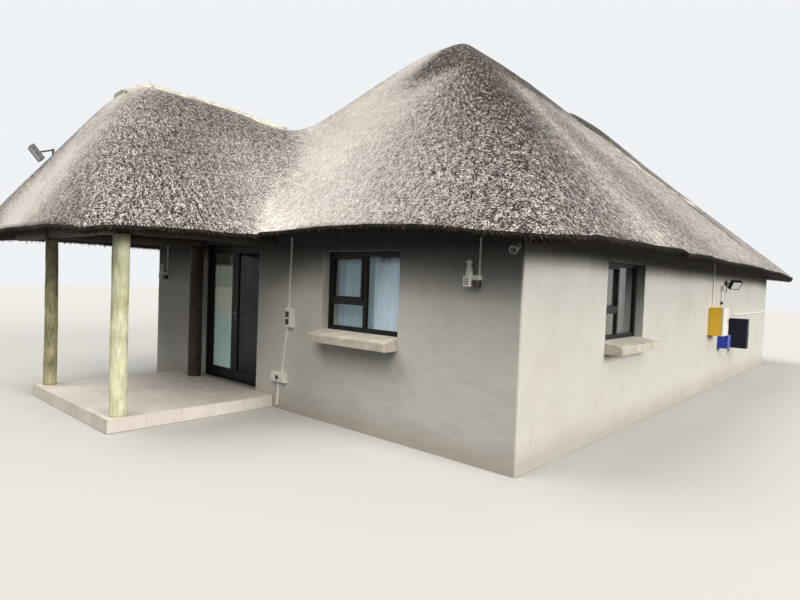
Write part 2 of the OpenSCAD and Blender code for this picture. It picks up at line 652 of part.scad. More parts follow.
// A lantern on the front wall with its sensor and its conduit up to the eave
module lantern(x, z, top) {
    union() {
        box([x - 45, front_y - 95, z], [x + 45, front_y, z + 95]);
        translate([x, front_y - 48, z + 94]) cylinder(r1 = 42, r2 = 14, h = 122);
        translate([x, front_y - 48, z + 215]) cylinder(r = 42, h = 14);
        translate([x, front_y - 48, z + 228]) cylinder(r = 14, h = 18);
        box([x + 44, front_y - 70, z - 5], [x + 125, front_y, z + 105]);
        difference() {
            rod([x + 92, conduit_y, z + 100], [x + 99, conduit_y, top], 18);
            box([x, front_y, 0], [x + 200, front_in, 2500]);
        }
    }
}
corner_lamp_x = half_w - 535;
porch_lamp_x = -half_w + 235;
module wall_lamps() color("#c9cdc8") {
    lantern(corner_lamp_x, lamp_z, corner_head);
    lantern(porch_lamp_x, lamp_z - 70, eave_head);
}
// A batten light over the door
door_light_z = floor_h + door_h + 45;
module door_light() color("#b9b48a") union() {
    rod([door_right - 720, front_y - 60, door_light_z], [door_right + 60, front_y - 60, door_light_z], 34);
    for (x = [door_right - 650, door_right - 10])
        box([x, front_y - 70, door_light_z - 15], [x + 30, front_y, door_light_z + 15]);
    box([door_right + 40, front_y - 75, door_light_z - 75], [door_right + 80, front_y, door_light_z + 45]);
}
// Floodlights: one beside the eave on the side wall, one on the porch roof
flood_y = half_d + 560;
flood_z = 1830;
roof_lamp = [-half_w + 65, post_y + 155];
roof_lamp_z = roof_z(roof_lamp[0], roof_lamp[1]);
lamp_foot = roof_lamp + [10, 110];
lamp_foot_z = roof_z(lamp_foot[0], lamp_foot[1]);
lamp_arm_z = lamp_foot_z + 60;
module roof_lamp_foot() translate([lamp_foot[0], lamp_foot[1], lamp_foot_z - 160])
    cylinder(d = 30, h = 235);
module floodlights() color("#2a2a2c") {
    union() {
        box([half_w, flood_y - 40, flood_z - 60], [half_w + 20, flood_y + 40, flood_z + 60]);
        rod([half_w + 10, flood_y, flood_z], [half_w + 140, flood_y, flood_z], 24);
        translate([half_w + 140, flood_y, flood_z]) rotate([0, 30, -35])
            box([-20, -100, -90], [45, 100, 70]);
    }
    union() {
        roof_lamp_foot();
        rod([lamp_foot[0], lamp_foot[1], lamp_arm_z], [roof_lamp[0] - 13, roof_lamp[1] - 70,
            roof_lamp_z + 134], 24);
        translate([roof_lamp[0], roof_lamp[1], roof_lamp_z]) rotate([37, 0, -9])
            box([-140, -25, 40], [140, 25, 260]);
    }
}
// A small camera on an arm at the corner, looking down
camera = [half_w - 55, front_y - 60, 1982];
module security_camera() color("#d8d8d2") difference() {
    union() {
        rod([half_w - 34, front_y + 5, 2070], camera, 24);
        translate(camera) rotate([122, 0, 8]) translate([0, 0, -42]) cylinder(d = 78, h = 90);
    }
    box([half_w - 300, front_y, 1800], [half_w + 100, front_in, 2300]);
}
module yellow_meter_box() color("#e8a81c")
    box([half_w, meter_y, meter_z], [half_w + meter_out, meter_y + 370, meter_z + meter_h]);
module blue_meter_boxes() color("#1c2358") {
    box([half_w, half_d + 130, 680], [half_w + 165, half_d + 340, 920]);
    box([half_w, half_d + 960, 640], [half_w + 300, half_d + 1130, 1190]);
}

house_floor();
porch_floor();
front_wall_right();
front_wall_left();
door_lintel();
side_wall();
rear_side_wall();
rear_wall();
rear_left_wall();
left_wall();
window_frames();
window_glass();
window_sills();
window_curtains();
door_frame();
left_leaf_frame();
left_leaf_glass();
left_leaf_curtain();
right_leaf_frame();
right_leaf_glass();
right_leaf_curtain();
door_handles();
porch_posts();
porch_beams();
main_thatch_right();
main_thatch_front();
main_thatch_left();
rear_thatch_right();
rear_thatch_back();
rear_thatch_left();
porch_thatch_right();
porch_thatch_front();
porch_thatch_left();
porch_ridge_cap();
wall_conduits();
switch_boxes();
wall_lamps();
door_light();
floodlights();
security_camera();
yellow_meter_box();
blue_meter_boxes();
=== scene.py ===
import math

import bmesh
import bpy
import numpy as np
from mathutils import Matrix, Vector, noise


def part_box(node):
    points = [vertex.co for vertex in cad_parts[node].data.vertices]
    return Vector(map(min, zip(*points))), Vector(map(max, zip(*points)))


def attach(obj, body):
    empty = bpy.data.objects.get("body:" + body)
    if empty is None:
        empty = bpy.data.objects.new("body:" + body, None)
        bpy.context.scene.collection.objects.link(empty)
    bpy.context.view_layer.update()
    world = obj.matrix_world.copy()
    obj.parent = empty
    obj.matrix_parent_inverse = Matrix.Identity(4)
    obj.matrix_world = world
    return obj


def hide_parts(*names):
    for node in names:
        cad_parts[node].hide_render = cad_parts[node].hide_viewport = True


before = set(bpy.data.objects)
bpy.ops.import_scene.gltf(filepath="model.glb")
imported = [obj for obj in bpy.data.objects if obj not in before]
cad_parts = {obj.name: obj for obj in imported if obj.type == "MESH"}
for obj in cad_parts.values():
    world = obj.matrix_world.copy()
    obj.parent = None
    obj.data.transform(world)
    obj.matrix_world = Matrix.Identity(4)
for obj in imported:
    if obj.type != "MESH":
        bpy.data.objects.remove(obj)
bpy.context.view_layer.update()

HOUSE = "house"
SEED = 11

# Plan of the house, taken from the frame, in metres
WALL_LOW = Vector((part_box("left_wall")[0].x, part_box("front_wall_right")[0].y, 0))
WALL_HIGH = Vector((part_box("side_wall")[1].x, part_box("rear_wall")[1].y, 0))
FLOOR_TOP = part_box("house_floor")[1].z

# Roof form, the same rule as the solids follow
EAVE_OUT = 0.5
EAVE_Z = 2.12
EAVE_DROOP = 0.08
FRONT_LIFT = 0.085
HIP_FOOT = 16
REAR_BLEND = 0.25
PORCH_BLEND = 0.7
THATCH_THICK = 0.21
# The thatch thins to its lip over the last of its fall
LIP_THICK, LIP_FALL = 0.07, 0.32


def share(v, r0, r1, e0, e1):
    """Share of the way from a ridge to its eave along one axis."""
    return np.where(v > r1, (v - r1) / (e1 - r1), np.where(v < r0, (r0 - v) / (r0 - e0), 0))


class Hump:
    """One thatched hump: a ridge rectangle, its height, its eave rectangle, the softness of its top and
    the roundness of its hips near the top."""

    def __init__(self, ridge_x, ridge_y, top, eave_x, eave_y, soft, hip_top):
        self.ridge_x, self.ridge_y, self.top = ridge_x, ridge_y, top
        self.eave_x, self.eave_y, self.soft, self.hip_top = eave_x, eave_y, soft, hip_top

    def shares(self, x, y):
        return share(x, *self.ridge_x, *self.eave_x), share(y, *self.ridge_y, *self.eave_y)

    def height(self, x, y):
        a, b = self.shares(x, y)
        m = np.maximum(np.maximum(a, b), 1e-6)
        p = self.hip_top + (HIP_FOOT - self.hip_top) * np.minimum(m, 2) ** 3
        t = m * (1 + (np.minimum(a, b) / m) ** p) ** (1 / p)
        s = self.soft
        fall = (np.sqrt(t * t + s * s) - s) / (math.sqrt(1 + s * s) - s)
        return EAVE_Z + (self.top - EAVE_Z) * (1 - fall)

    def hip(self, x, y):
        """How square to a corner a point stands, 0 along a side and 1 on the hip."""
        a, b = self.shares(x, y)
        m = np.maximum(np.maximum(a, b), 1e-6)
        return (np.minimum(a, b) / m) ** 4

    def along_and_down(self, x, y):
        """Distance round the hump and down its slope, for patterns that follow the straw."""
        rx, ry = np.clip(x, *self.ridge_x), np.clip(y, *self.ridge_y)
        dx, dy = x - rx, y - ry
        turn = np.arctan2(dy, dx)
        side = np.where(np.abs(dx) > np.abs(dy), ry * np.sign(dx), -rx * np.sign(dy))
        return turn * 1.5 + side, np.hypot(dx, dy)


MAIN_FRONT = WALL_LOW.y - EAVE_OUT
MAIN = Hump((-0.03, 0.07), (0.03, 0.3), 5.62,
            (WALL_LOW.x - EAVE_OUT, WALL_HIGH.x + EAVE_OUT), (MAIN_FRONT, MAIN_FRONT + 10.4), 0.11, 5)
REAR_BACK = WALL_HIGH.y + 0.35
REAR = Hump((0.32, 0.62), (3.0, 3.6), 5.14,
            (WALL_LOW.x - EAVE_OUT, WALL_HIGH.x + EAVE_OUT), (REAR_BACK - 10.32, REAR_BACK), 0.08, 2)
PORCH_FRONT = -5.8
PORCH = Hump((-2.67, -2.67), (PORCH_FRONT + 1.79, PORCH_FRONT + 2.79), 4.36,
             (WALL_LOW.x - 0.85, 0.25), (PORCH_FRONT, PORCH_FRONT + 7.29), 0.24, 3.7)
HUMPS = (MAIN, REAR, PORCH)


def soft_max(a, b, k):
    g = np.maximum(k - np.abs(a - b), 0) / k
    return np.maximum(a, b) + g * g * k / 4


def roof_z(x, y):
    main, rear, porch = (h.height(x, y) for h in HUMPS)
    return soft_max(soft_max(main, rear, REAR_BLEND), porch, PORCH_BLEND)


def top_hump(x, y):
    """Which hump a point of the roof belongs to: 0 main, 1 rear, 2 porch."""
    return np.argmax(np.stack([h.height(x, y) for h in HUMPS]), axis=0)


def over_eave(x, y):
    """Height of the roof above its eave line, positive inside the outline. The line droops at the corners
    and lifts over the middle of the front."""
    hips = np.stack([h.hip(x, y) for h in HUMPS])
    owner = top_hump(x, y)
    droop = np.take_along_axis(hips, owner[None], 0)[0]
    half = WALL_HIGH.x / 2
    front = (owner == 0) & (y < MAIN_FRONT + 2 * EAVE_OUT)
    lift = np.where(front, np.maximum(1 - ((x - half) / half) ** 2, 0), 0)
    return roof_z(x, y) - EAVE_Z + EAVE_DROOP * droop - FRONT_LIFT * lift


# Mortar laid over the thatch: along the porch ridge, and a thin run down the rear hip, as points in plan
CAP_LINE = [(-2.67, -4.36), (-2.67, -3.01), (-2.61, -2.71), (-2.48, -2.41), (-2.29, -2.14), (-2.05, -1.89)]
CAP_HALF = 0.27
SMEAR_LINE = [(1.99, 2.26), (2.29, 2.60), (2.40, 3.00), (2.56, 3.40), (2.60, 4.66)]
SMEAR_HALF = 0.05


def from_line(x, y, line):
    """Distance in plan from a run of points."""
    best = np.full(np.shape(x), 99.0)
    for (ax, ay), (bx, by) in zip(line, line[1:]):
        dx, dy = bx - ax, by - ay
        t = np.clip(((x - ax) * dx + (y - ay) * dy) / (dx * dx + dy * dy), 0, 1)
        best = np.minimum(best, np.hypot(x - ax - t * dx, y - ay - t * dy))
    return best


def bell(distance, width):
    return np.exp(-(distance / width) ** 2)


def rising(v, low, high):
    return np.clip((v - low) / (high - low), 0, 1)


def weather(x, y):
    """Tone of the thatch at points in plan: how dark it is, how grey with mortar, how bleached it is. In the
    crease between the main and rear rooms and in the valley by the porch the darkness is painted shade;
    elsewhere it is set face by face, darkest on the hip that faces the corner and on the crests."""
    main, rear, porch = (h.height(x, y) for h in HUMPS)
    z = np.maximum(np.maximum(main, rear), porch)
    turn = np.degrees(np.arctan2(y - 0.15, x - 0.02))
    porch_turn = np.degrees(np.arctan2(y + 3.5, x + 2.67))
    on_main = (main >= rear) & (main >= porch)
    on_rear, on_porch = (rear > main) & (rear > porch), (porch > main) & (porch > rear)
    hip = bell(turn + 42, 34) * (0.82 + 0.18 * rising(z, 2.1, 4.0)) * on_main
    flank = 0.78 * bell(turn, 42) * on_main
    away = 0.62 * (1 - bell(turn + 85, 38)) * on_main
    crown = 0.97 * rising(main, 3.9, 4.8) * rising(turn, -115, -80) * on_main
    # Painted shade: a dark line along the crease between the main and rear humps, and a broader darkening in
    # the valley between the main hump and the porch.
    lean_x, lean_y = gradient(lambda u, v: MAIN.height(u, v) - REAR.height(u, v), x, y)
    crease_shade = 0.97 * bell(np.abs(main - rear) / (np.hypot(lean_x, lean_y) + 0.05), 0.13) \
        * (y > 1) * (rear > porch) * rising(z, 2.15, 2.6)
    valley_shade = 0.74 * bell(main - porch, 0.6) * (0.4 + 0.6 * rising(z, 2.3, 3.1))
    rear_face = (0.68 + 0.08 * rising(z, 2.4, 3.4) + 0.28 * rising(rear, 4.0, 4.8)) * on_rear
    notch = rising(porch_turn, -14, 0) * (1 - rising(porch, 2.2, 2.6))
    right_side = rising(porch_turn, -24, 0) * (1 - rising(porch, 3.0, 3.8))
    porch_face = (0.82 + 0.03 * rising(porch, 2.5, 3.2)) * (1 - 0.82 * bell(porch_turn + 78, 22)) \
        * (1 - 0.2 * right_side) * (1 - 0.5 * notch) * on_porch
    dark = np.clip(np.max([hip, flank, away, crown, crease_shade, valley_shade, rear_face, porch_face], axis=0), 0, 1)
    ragged = 0.03 * np.sin(x * 31 + 2 * np.sin(y * 17)) + 0.02 * np.sin(y * 43)
    mortar = np.clip(1.5 - np.abs(from_line(x, y, SMEAR_LINE) + ragged) / SMEAR_HALF, 0, 1)
    bleached = 0.8 * (1 - rising(z, EAVE_Z, 3.4)) * (1 - dark)
    return dark, mortar, bleached


# Where the dark end of the dots lies on the least and on the most darkened thatch, and where their pale end
# lies
LEAST_TONE, MOST_TONE = (-1.1, 0.85), 1.05


def dot_tone(own, dark):
    """Tone of a straw end from 0, dark, to 1, pale, out of its own random share and the darkness of its
    place, which holds the painted shade of the crease and the valley.
    """
    low = LEAST_TONE[0] + (LEAST_TONE[1] - LEAST_TONE[0]) * dark
    return np.clip((own - low) / (MOST_TONE - low), 0, 1)


def gradient(f, x, y, step=0.01):
    return (f(x + step, y) - f(x - step, y)) / (2 * step), (f(x, y + step) - f(x, y - step)) / (2 * step)


# Colour, nodes and pieces

SHARP = math.radians(30)


def linear(hex_colour):
    """Linear RGBA of an sRGB hex colour."""
    parts = [int(hex_colour[i:i + 2], 16) / 255 for i in (1, 3, 5)]
    return (*[c / 12.92 if c <= 0.04045 else ((c + 0.055) / 1.055) ** 2.4 for c in parts], 1)


def add(tree, kind, inputs=None, out=0, **settings):
    """Adds a shader node with its settings and returns the output asked for. Inputs are values, hex colours
    or other nodes' sockets."""
    made = tree.nodes.new("ShaderNode" + kind)
    for name, value in settings.items():
        setattr(made, name, value)
    for key, value in (inputs or {}).items():
        if isinstance(value, bpy.types.NodeSocket):
            tree.links.new(value, made.inputs[key])
        else:
            made.inputs[key].default_value = linear(value) if isinstance(value, str) else value
    return made.outputs[out]


def blend(tree, taken, low, high):
    """Two colours mixed, by the share taken of the second."""
    return add(tree, "Mix", {0: taken, 6: low, 7: high}, 2, data_type="RGBA")


def mottle(tree, place, scale, detail, roughness=0.5, **settings):
    """Cloudy noise over a place, as one value."""
    return add(tree, "TexNoise", {"Vector": place, "Scale": scale, "Detail": detail, "Roughness": roughness},
               **settings)


def turning(tree, value, reach, low, high, most=1):
    """A colour that turns from low to high as a value goes over its reach, and the share of high in it."""
    start, end = reach
    taken = add(tree, "MapRange", {"Value": value, "From Min": start, "From Max": end, "To Max": most})
    return blend(tree, taken, low, high), taken


def new_material(name, **shader_values):
    mat = bpy.data.materials.new(name)
    mat.use_nodes = True
    for key, value in shader_values.items():
        mat.node_tree.nodes["Principled BSDF"].inputs[key.replace("_", " ")].default_value = value
    return mat, mat.node_tree


def plug(mat, relief=None, **sockets):
    """Plugs patterns into a material's shader. Relief is a bump's height, strength and depth in metres, and
    the bump below it where there is one."""
    tree = mat.node_tree
    if relief:
        sockets["Normal"] = add(tree, "Bump", dict(zip(("Height", "Strength", "Distance", "Normal"), relief)))
    for name, socket in sockets.items():
        tree.links.new(socket, tree.nodes["Principled BSDF"].inputs[name.replace("_", " ")])
    return mat


def dress(node_name, material, edge=None):
    """Gives a solid of the frame its finish and, where an edge is given, rounds its edges by that."""
    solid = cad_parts[node_name]
    solid.data.materials.clear()
    solid.data.materials.append(material)
    if edge:
        weld = solid.modifiers.new("one_skin", "WELD")
        weld.merge_threshold = 0.0001
        worn = solid.modifiers.new("rounded_edges", "BEVEL")
        worn.width, worn.segments, worn.limit_method, worn.angle_limit = edge, 2, "ANGLE", SHARP


def new_object(name, data):
    made = bpy.data.objects.new(name, data)
    bpy.context.scene.collection.objects.link(made)
    return made


def piece(name, mesh, slot, *materials, body=HOUSE, replaces=()):
    """A finished mesh as a piece that rides on a body. Its slot is not used."""
    obj = new_object(name, mesh)
    for m in materials:
        mesh.materials.append(m)
    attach(obj, body)
    if replaces:
        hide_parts(*replaces)
    return obj


def fitted(name, bm, slot, *materials, body=HOUSE, replaces=(), edge=0.0015, place=None, smooth=False):
    """A built piece with its edges rounded, set in place and on its body. Its slot is not used."""
    if edge:
        bevel(bm, sharp_edges(bm), edge, 2, clamp_overlap=True)
    if place:
        bmesh.ops.transform(bm, matrix=place, verts=bm.verts)
    for f in bm.faces if smooth else ():
        f.smooth = True
    mesh = bpy.data.meshes.new(name)
    bm.to_mesh(mesh)
    bm.free()
    return piece(name, mesh, slot, *materials, body=body, replaces=replaces)


def sharp_edges(bm):
    return [e for e in bm.edges if len(e.link_faces) == 2 and e.calc_face_angle(0) > SHARP]


def bevel(bm, edges, width, segments, **settings):
    bmesh.ops.bevel(bm, geom=edges, offset=width, offset_type="OFFSET", segments=segments, profile=0.5,
                    affect="EDGES", material=-1, **settings)


def merged_copy(node_name):
    """A solid of the frame as a clean mesh whose flat faces are whole."""
    bm = bmesh.new()
    bm.from_mesh(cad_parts[node_name].data)
    bmesh.ops.remove_doubles(bm, verts=bm.verts, dist=0.0002)
    bmesh.ops.dissolve_limit(bm, angle_limit=math.radians(1), verts=bm.verts, edges=bm.edges)
    return bm


def cut_up(bm, start, high, cell):
    """Cuts a solid along planes that lie a cell apart, from a start to its high corner."""
    for axis in range(3):
        normal = Vector([float(i == axis) for i in range(3)])
        for i in range(int((high[axis] - start[axis]) / cell) + 1):
            bmesh.ops.bisect_plane(bm, geom=bm.verts[:] + bm.edges[:] + bm.faces[:], plane_no=normal,
                                   plane_co=normal * (start[axis] + i * cell))


def lumps_at(p, lumps):
    """Noise of several scales, each with its height, at a point."""
    return sum(size * noise.noise(p * scale) for scale, size in lumps)


def roughen(bm, lumps):
    """Moves the points out and in by noise; those on the ground stay level."""
    bm.normal_update()
    for v in bm.verts:
        move = v.normal * lumps_at(v.co, lumps)
        v.co += move if v.co.z > 0.02 else Vector((move.x, move.y, 0))


# Materials

def thatch_material(name, pale, mid, dark, bleached, mortar):
    """Weathered grass thatch, dressed so that the cut ends of the straws face out: fine pale dots, each with
    its own tone, among dark gaps that are painted shade between the straw ends. Where the darkness attribute
    is
    high, more of the dots are dark: painted shade in the crease and the valley, and a darker tone set face by
    face elsewhere. Single straws are 3 to 5 mm thick, too fine to show from here, so a dot stands for a small
    tuft of 10 mm."""
    mat, tree = new_material(name, Roughness=0.95, Specular_IOR_Level=0.15)
    place = add(tree, "TexCoord", out="Object")
    own = add(tree, "SeparateColor", {0: add(tree, "TexVoronoi", {"Vector": place, "Scale": 100}, "Color")})
    streak_at = add(tree, "Mapping", {"Vector": add(tree, "UVMap", uv_map="slope"), "Scale": (45, 9, 1)})
    streak = mottle(tree, streak_at, 1, 3, 0.75, noise_dimensions="2D")
    spread = add(tree, "MapRange", {"Value": streak, "From Min": 0.3, "From Max": 0.7, "To Min": -0.22,
                                    "To Max": 0.22})
    both = add(tree, "Math", {0: own, 1: spread})
    # Darkness, mortar and bleaching of each place; the darkness holds the painted shade of the crease and the
    # valley.
    wear = add(tree, "Attribute", attribute_name="weather")
    darkness, mortared, sun = add(tree, "SeparateColor", {0: wear}, slice(3))
    lowest = add(tree, "MapRange", {"Value": darkness, "To Min": LEAST_TONE[0], "To Max": LEAST_TONE[1]})
    cloud = mottle(tree, place, 0.9, 4, 0.6)
    ground, _ = turning(tree, cloud, (0.35, 0.68), mid, pale)
    sunned = blend(tree, sun, ground, bleached)
    dotted, tone = turning(tree, both, (lowest, MOST_TONE), dark, sunned)
    colour = blend(tree, mortared, dotted, mortar)
    return plug(mat, (tone, 0.35, 0.008), Base_Color=colour)


def straw_material(name, pale, dark, bleached):
    """Loose straw ends: each has its own tone, and darkens towards its root in the thatch."""
    mat, tree = new_material(name, Roughness=0.85, Specular_IOR_Level=0.2)
    own, along = add(tree, "SeparateXYZ", {0: add(tree, "UVMap", uv_map="straw")}, slice(2))
    root = add(tree, "MapRange", {"Value": along, "To Min": 0.6})
    tone = add(tree, "Math", {0: own, 1: root}, operation="MULTIPLY")
    sun = add(tree, "SeparateXYZ", {0: add(tree, "UVMap", uv_map="sun")})
    lit = blend(tree, sun, pale, bleached)
    return plug(mat, Base_Color=blend(tree, tone, dark, lit))


def cut_material():
    """Sheared straw ends at the eave: round dots of straw with red-brown shade between them, all of it
    darkened to near black as painted shade under the eave.
    """
    mat, tree = new_material("sheared_straw_ends", Roughness=1)
    ends = add(tree, "TexVoronoi", {"Vector": add(tree, "TexCoord", out="Object"), "Scale": 90})
    colour, dots = turning(tree, ends, (0.55, 0.15), "#060403", "#1c130e")
    return plug(mat, (dots, 0.8, 0.01), Base_Color=colour)


def under_material():
    """Underside of the thatch: brown straw in long lines, darkened to near black by painted shade."""
    mat, tree = new_material("brown_thatch_underside", Roughness=1)
    lines_at = add(tree, "Mapping", {"Vector": add(tree, "UVMap", uv_map="slope"), "Scale": (60, 4, 1)})
    lines = mottle(tree, lines_at, 1, 3, noise_dimensions="2D")
    return plug(mat, Base_Color=blend(tree, lines, "#0e0907", "#2b1c13"))


def plaster_material(name, base, stain, front_eave_shade, side_eave_shade):
    """Hand-floated cement plaster under matt paint: fine sand grain, trowel waves, rain streaks below the
    eave, a splashed, darker foot and a head darkened by painted shade of the eave. The painted shade reaches
    lower and is darker on walls that face the front."""
    mat, tree = new_material(name, Roughness=0.9, Specular_IOR_Level=0.25)
    place = add(tree, "TexCoord", out="Object")
    height = add(tree, "SeparateXYZ", {0: place}, 2)
    cloud = mottle(tree, place, 1.6, 5, 0.6)
    streak_at = add(tree, "Mapping", {"Vector": place, "Scale": (9, 9, 0.45)})
    streak = mottle(tree, streak_at, 1, 4, 0.7)
    both = add(tree, "Math", {0: streak, 1: 0.12, 2: cloud}, operation="MULTIPLY_ADD")
    dirt = add(tree, "MapRange", {"Value": both, "From Min": 0.52, "From Max": 0.85, "To Max": 0.3})
    above = add(tree, "Math", {0: cloud, 1: -0.35, 2: height}, operation="MULTIPLY_ADD")
    foot = add(tree, "MapRange", {"Value": above, "From Min": 0.16, "From Max": -0.14, "To Max": 0.6})
    soiled = add(tree, "Math", {0: dirt, 1: foot}, operation="MAXIMUM")
    washed = blend(tree, soiled, base, stain)
    below = add(tree, "Math", {0: streak, 1: 0.06, 2: height}, operation="MULTIPLY_ADD")
    # Painted shade of the eave over the head of the wall: from 1.86 m up on the sides and from 1.50 m up on
    # walls that face the front, in its own darker colour there.
    facing = add(tree, "SeparateXYZ", {0: add(tree, "NewGeometry", out="Normal")}, 1)
    eave_shade, front = turning(tree, facing, (-0.3, -0.9), side_eave_shade, front_eave_shade)
    start = add(tree, "MapRange", {"Value": front, "To Min": 1.86, "To Max": 1.50})
    colour, _ = turning(tree, below, (start, 2.06), washed, eave_shade, 0.93)
    waves = mottle(tree, place, 5, 2)
    grain = mottle(tree, place, 95, 4, 0.7)
    broad = add(tree, "Bump", {"Height": waves, "Strength": 0.5, "Distance": 0.02})
    return plug(mat, (grain, 0.35, 0.006, broad), Base_Color=colour)


def cement_material(name, patch, reach, dark, pale, grain, detail, relief):
    """Rough cement, pale, with sand grains and patches that rain has darkened. The sills are cast, and the
    mortar on the ridge is trowelled over the thatch, with grey patches."""
    mat, tree = new_material(name, Roughness=0.95)
    place = add(tree, "TexCoord", out="Object")
    cloud = mottle(tree, place, patch, 6, 0.7)
    colour, _ = turning(tree, cloud, reach, dark, pale)
    sand = mottle(tree, place, grain, detail, 0.8)
    return plug(mat, (sand, *relief), Base_Color=colour)


def pole_material(name, pale, dark):
    """Treated gum pole: peeled, green-grey where the sun has bleached it, with dark drying cracks along the
    grain."""
    mat, tree = new_material(name, Roughness=0.8)
    grain_at = add(tree, "Mapping", {"Vector": add(tree, "UVMap", uv_map="grain"), "Scale": (70, 5, 1)})
    grain = mottle(tree, grain_at, 1, 5, 0.65, noise_dimensions="2D")
    cloud = mottle(tree, add(tree, "TexCoord", out="Object"), 5, 4)
    wood, tone = turning(tree, add(tree, "Math", {0: grain, 1: cloud}), (0.75, 1.15), dark, pale)
    crack = add(tree, "SeparateColor", {0: add(tree, "Attribute", attribute_name="crack")})
    colour, _ = turning(tree, crack, (0.25, 0.9), wood, "#2c2519", 0.85)
    return plug(mat, (tone, 0.5, 0.006), Base_Color=colour)


def frame_material():
    """Bronze powder-coated steel: satin, near black, slightly chalked by the sun."""
    mat, tree = new_material("bronze_powder_coat", Specular_IOR_Level=0.25)
    chalk = mottle(tree, add(tree, "TexCoord", out="Object"), 30, 5)
    colour = blend(tree, chalk, "#070706", "#0e0d0c")
    rough = add(tree, "MapRange", {"Value": chalk, "To Min": 0.35, "To Max": 0.6})
    return plug(mat, Base_Color=colour, Roughness=rough)


GLASS_GREEN = linear("#e6efef")


def glass_material(name, ior):
    """Float glass: clear, with a faint green body, that lets the lamps through to the curtains."""
    mat, tree = new_material(name, Roughness=0.02, IOR=ior, Transmission_Weight=1, Base_Color=GLASS_GREEN)
    shadow = add(tree, "LightPath", out="Is Shadow Ray")
    glass = tree.nodes["Principled BSDF"].outputs[0]
    both = add(tree, "MixShader", {0: shadow, 1: glass, 2: add(tree, "BsdfTransparent")})
    tree.links.new(both, tree.nodes["Material Output"].inputs["Surface"])
    return mat


def cloth_material(name, pale, dark, bands=()):
    """Woven curtain cloth, its threads drawn some six times as coarse as they are so that they show. Bands of
    colour may lie across it, each from its start to where it is full."""
    mat, tree = new_material(name, Roughness=0.9, Sheen_Weight=0.05)
    uv = add(tree, "UVMap", uv_map="cloth")
    warp = add(tree, "TexWave", {"Vector": uv, "Scale": 1000 / THREAD_MM / 20, "Distortion": 0.4}, "Fac")
    cloud = mottle(tree, uv, 6, 3)
    height = add(tree, "SeparateXYZ", {0: uv}, 1)
    for start, full, taking_over in bands:
        pale, _ = turning(tree, height, (start, full), pale, taking_over)
    colour, _ = turning(tree, add(tree, "Math", {0: warp, 1: cloud}), (1.1, 0.4), pale, dark, 0.28)
    return plug(mat, (warp, 0.2, 0.001), Base_Color=colour)


THREAD_MM = 1.5


def tile_material():
    """Matt stone-look porch tiles: each has its own tone, under dust and worn, cloudy marks."""
    mat, tree = new_material("stone_look_tile", Roughness=0.6)
    own = add(tree, "SeparateColor", {0: add(tree, "Attribute", attribute_name="tone")})
    tile = blend(tree, own, "#d3cdc6", "#e4dfd9")
    place = add(tree, "TexCoord", out="Object")
    cloud = mottle(tree, place, 9, 6, 0.7)
    colour, _ = turning(tree, cloud, (0.4, 0.75), tile, "#c2b9ae", 0.6)
    return plug(mat, (cloud, 0.2, 0.002), Base_Color=colour)


def plain_material(name, colour, roughness, metallic=0.0, grain=40):
    """A painted, moulded or cast finish with a little wear in its gloss and tone."""
    mat, tree = new_material(name, Metallic=metallic)
    wear = mottle(tree, add(tree, "TexCoord", out="Object"), grain, 4)
    dull = [0.82 * c for c in linear(colour)[:3]] + [1]
    tone = blend(tree, wear, dull, colour)
    rough = add(tree, "MapRange", {"Value": wear, "To Min": roughness - 0.1, "To Max": roughness + 0.1})
    return plug(mat, Base_Color=tone, Roughness=rough)


# Thatch

GRID = 0.06
SKIN_LUMPS = ((0.9, 0.018), (3.5, 0.010), (11.0, 0.006))


def plan_of(points):
    """Where points stand in plan, as an array of each coordinate."""
    return np.array([p.co[:2] for p in points]).T


def thatch_skin(materials):
    """The whole roof as one skin: a grid laid over the plan, trimmed at the eave, lifted to the roof's height
    and given its thickness. Returns both ends of every edge along the eave."""
    low = Vector((min(h.eave_x[0] for h in HUMPS), PORCH.eave_y[0], 0)) - Vector((0.2, 0.2, 0))
    high = Vector((MAIN.eave_x[1], REAR.eave_y[1], 0)) + Vector((0.2, 0.2, 0))
    count_x, count_y = (round((b - a) / GRID) for a, b in zip(low.xy, high.xy))
    bm = bmesh.new()
    bmesh.ops.create_grid(bm, x_segments=count_x, y_segments=count_y, size=1)
    middle, half = (low + high) / 2, (high - low) / 2
    bmesh.ops.scale(bm, vec=(half.x, half.y, 1), verts=bm.verts)
    bmesh.ops.translate(bm, vec=middle, verts=bm.verts)
    bm.verts.ensure_lookup_table()
    inside = over_eave(*plan_of(bm.verts)) > 0
    far = [f for f in bm.faces if not any(inside[v.index] for v in f.verts)]
    bmesh.ops.delete(bm, geom=far, context="FACES")
    bmesh.ops.delete(bm, geom=[v for v in bm.verts if not v.link_faces], context="VERTS")
    pull_to_eave(bm)
    bmesh.ops.remove_doubles(bm, verts=[v for v in bm.verts if v.is_boundary], dist=GRID * 0.2)
    lift_and_roughen(bm)
    set_slope_uv(bm)
    layer = bm.verts.layers.float_color.new("weather")
    for v, worn in zip(bm.verts, zip(*weather(*plan_of(bm.verts)))):
        v[layer] = (*worn, 1)
    eave = np.array([[tuple(v.co) for v in e.verts] for e in bm.edges if e.is_boundary])
    skin = fitted("thatch_skin", bm, "thatch", *materials, edge=0, smooth=True,
                  replaces=[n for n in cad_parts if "_thatch_" in n])
    thick = skin.modifiers.new("thickness", "SOLIDIFY")
    thick.thickness, thick.offset = THATCH_THICK, -1
    thick.material_offset_rim, thick.material_offset = 1, 2
    full = skin.vertex_groups.new(name="full_thickness")
    for i, grown in enumerate(rising(over_eave(*plan_of(skin.data.vertices)), 0, LIP_FALL)):
        full.add([i], float(grown), "REPLACE")
    thick.vertex_group, thick.thickness_vertex_group = full.name, LIP_THICK / THATCH_THICK
    return eave


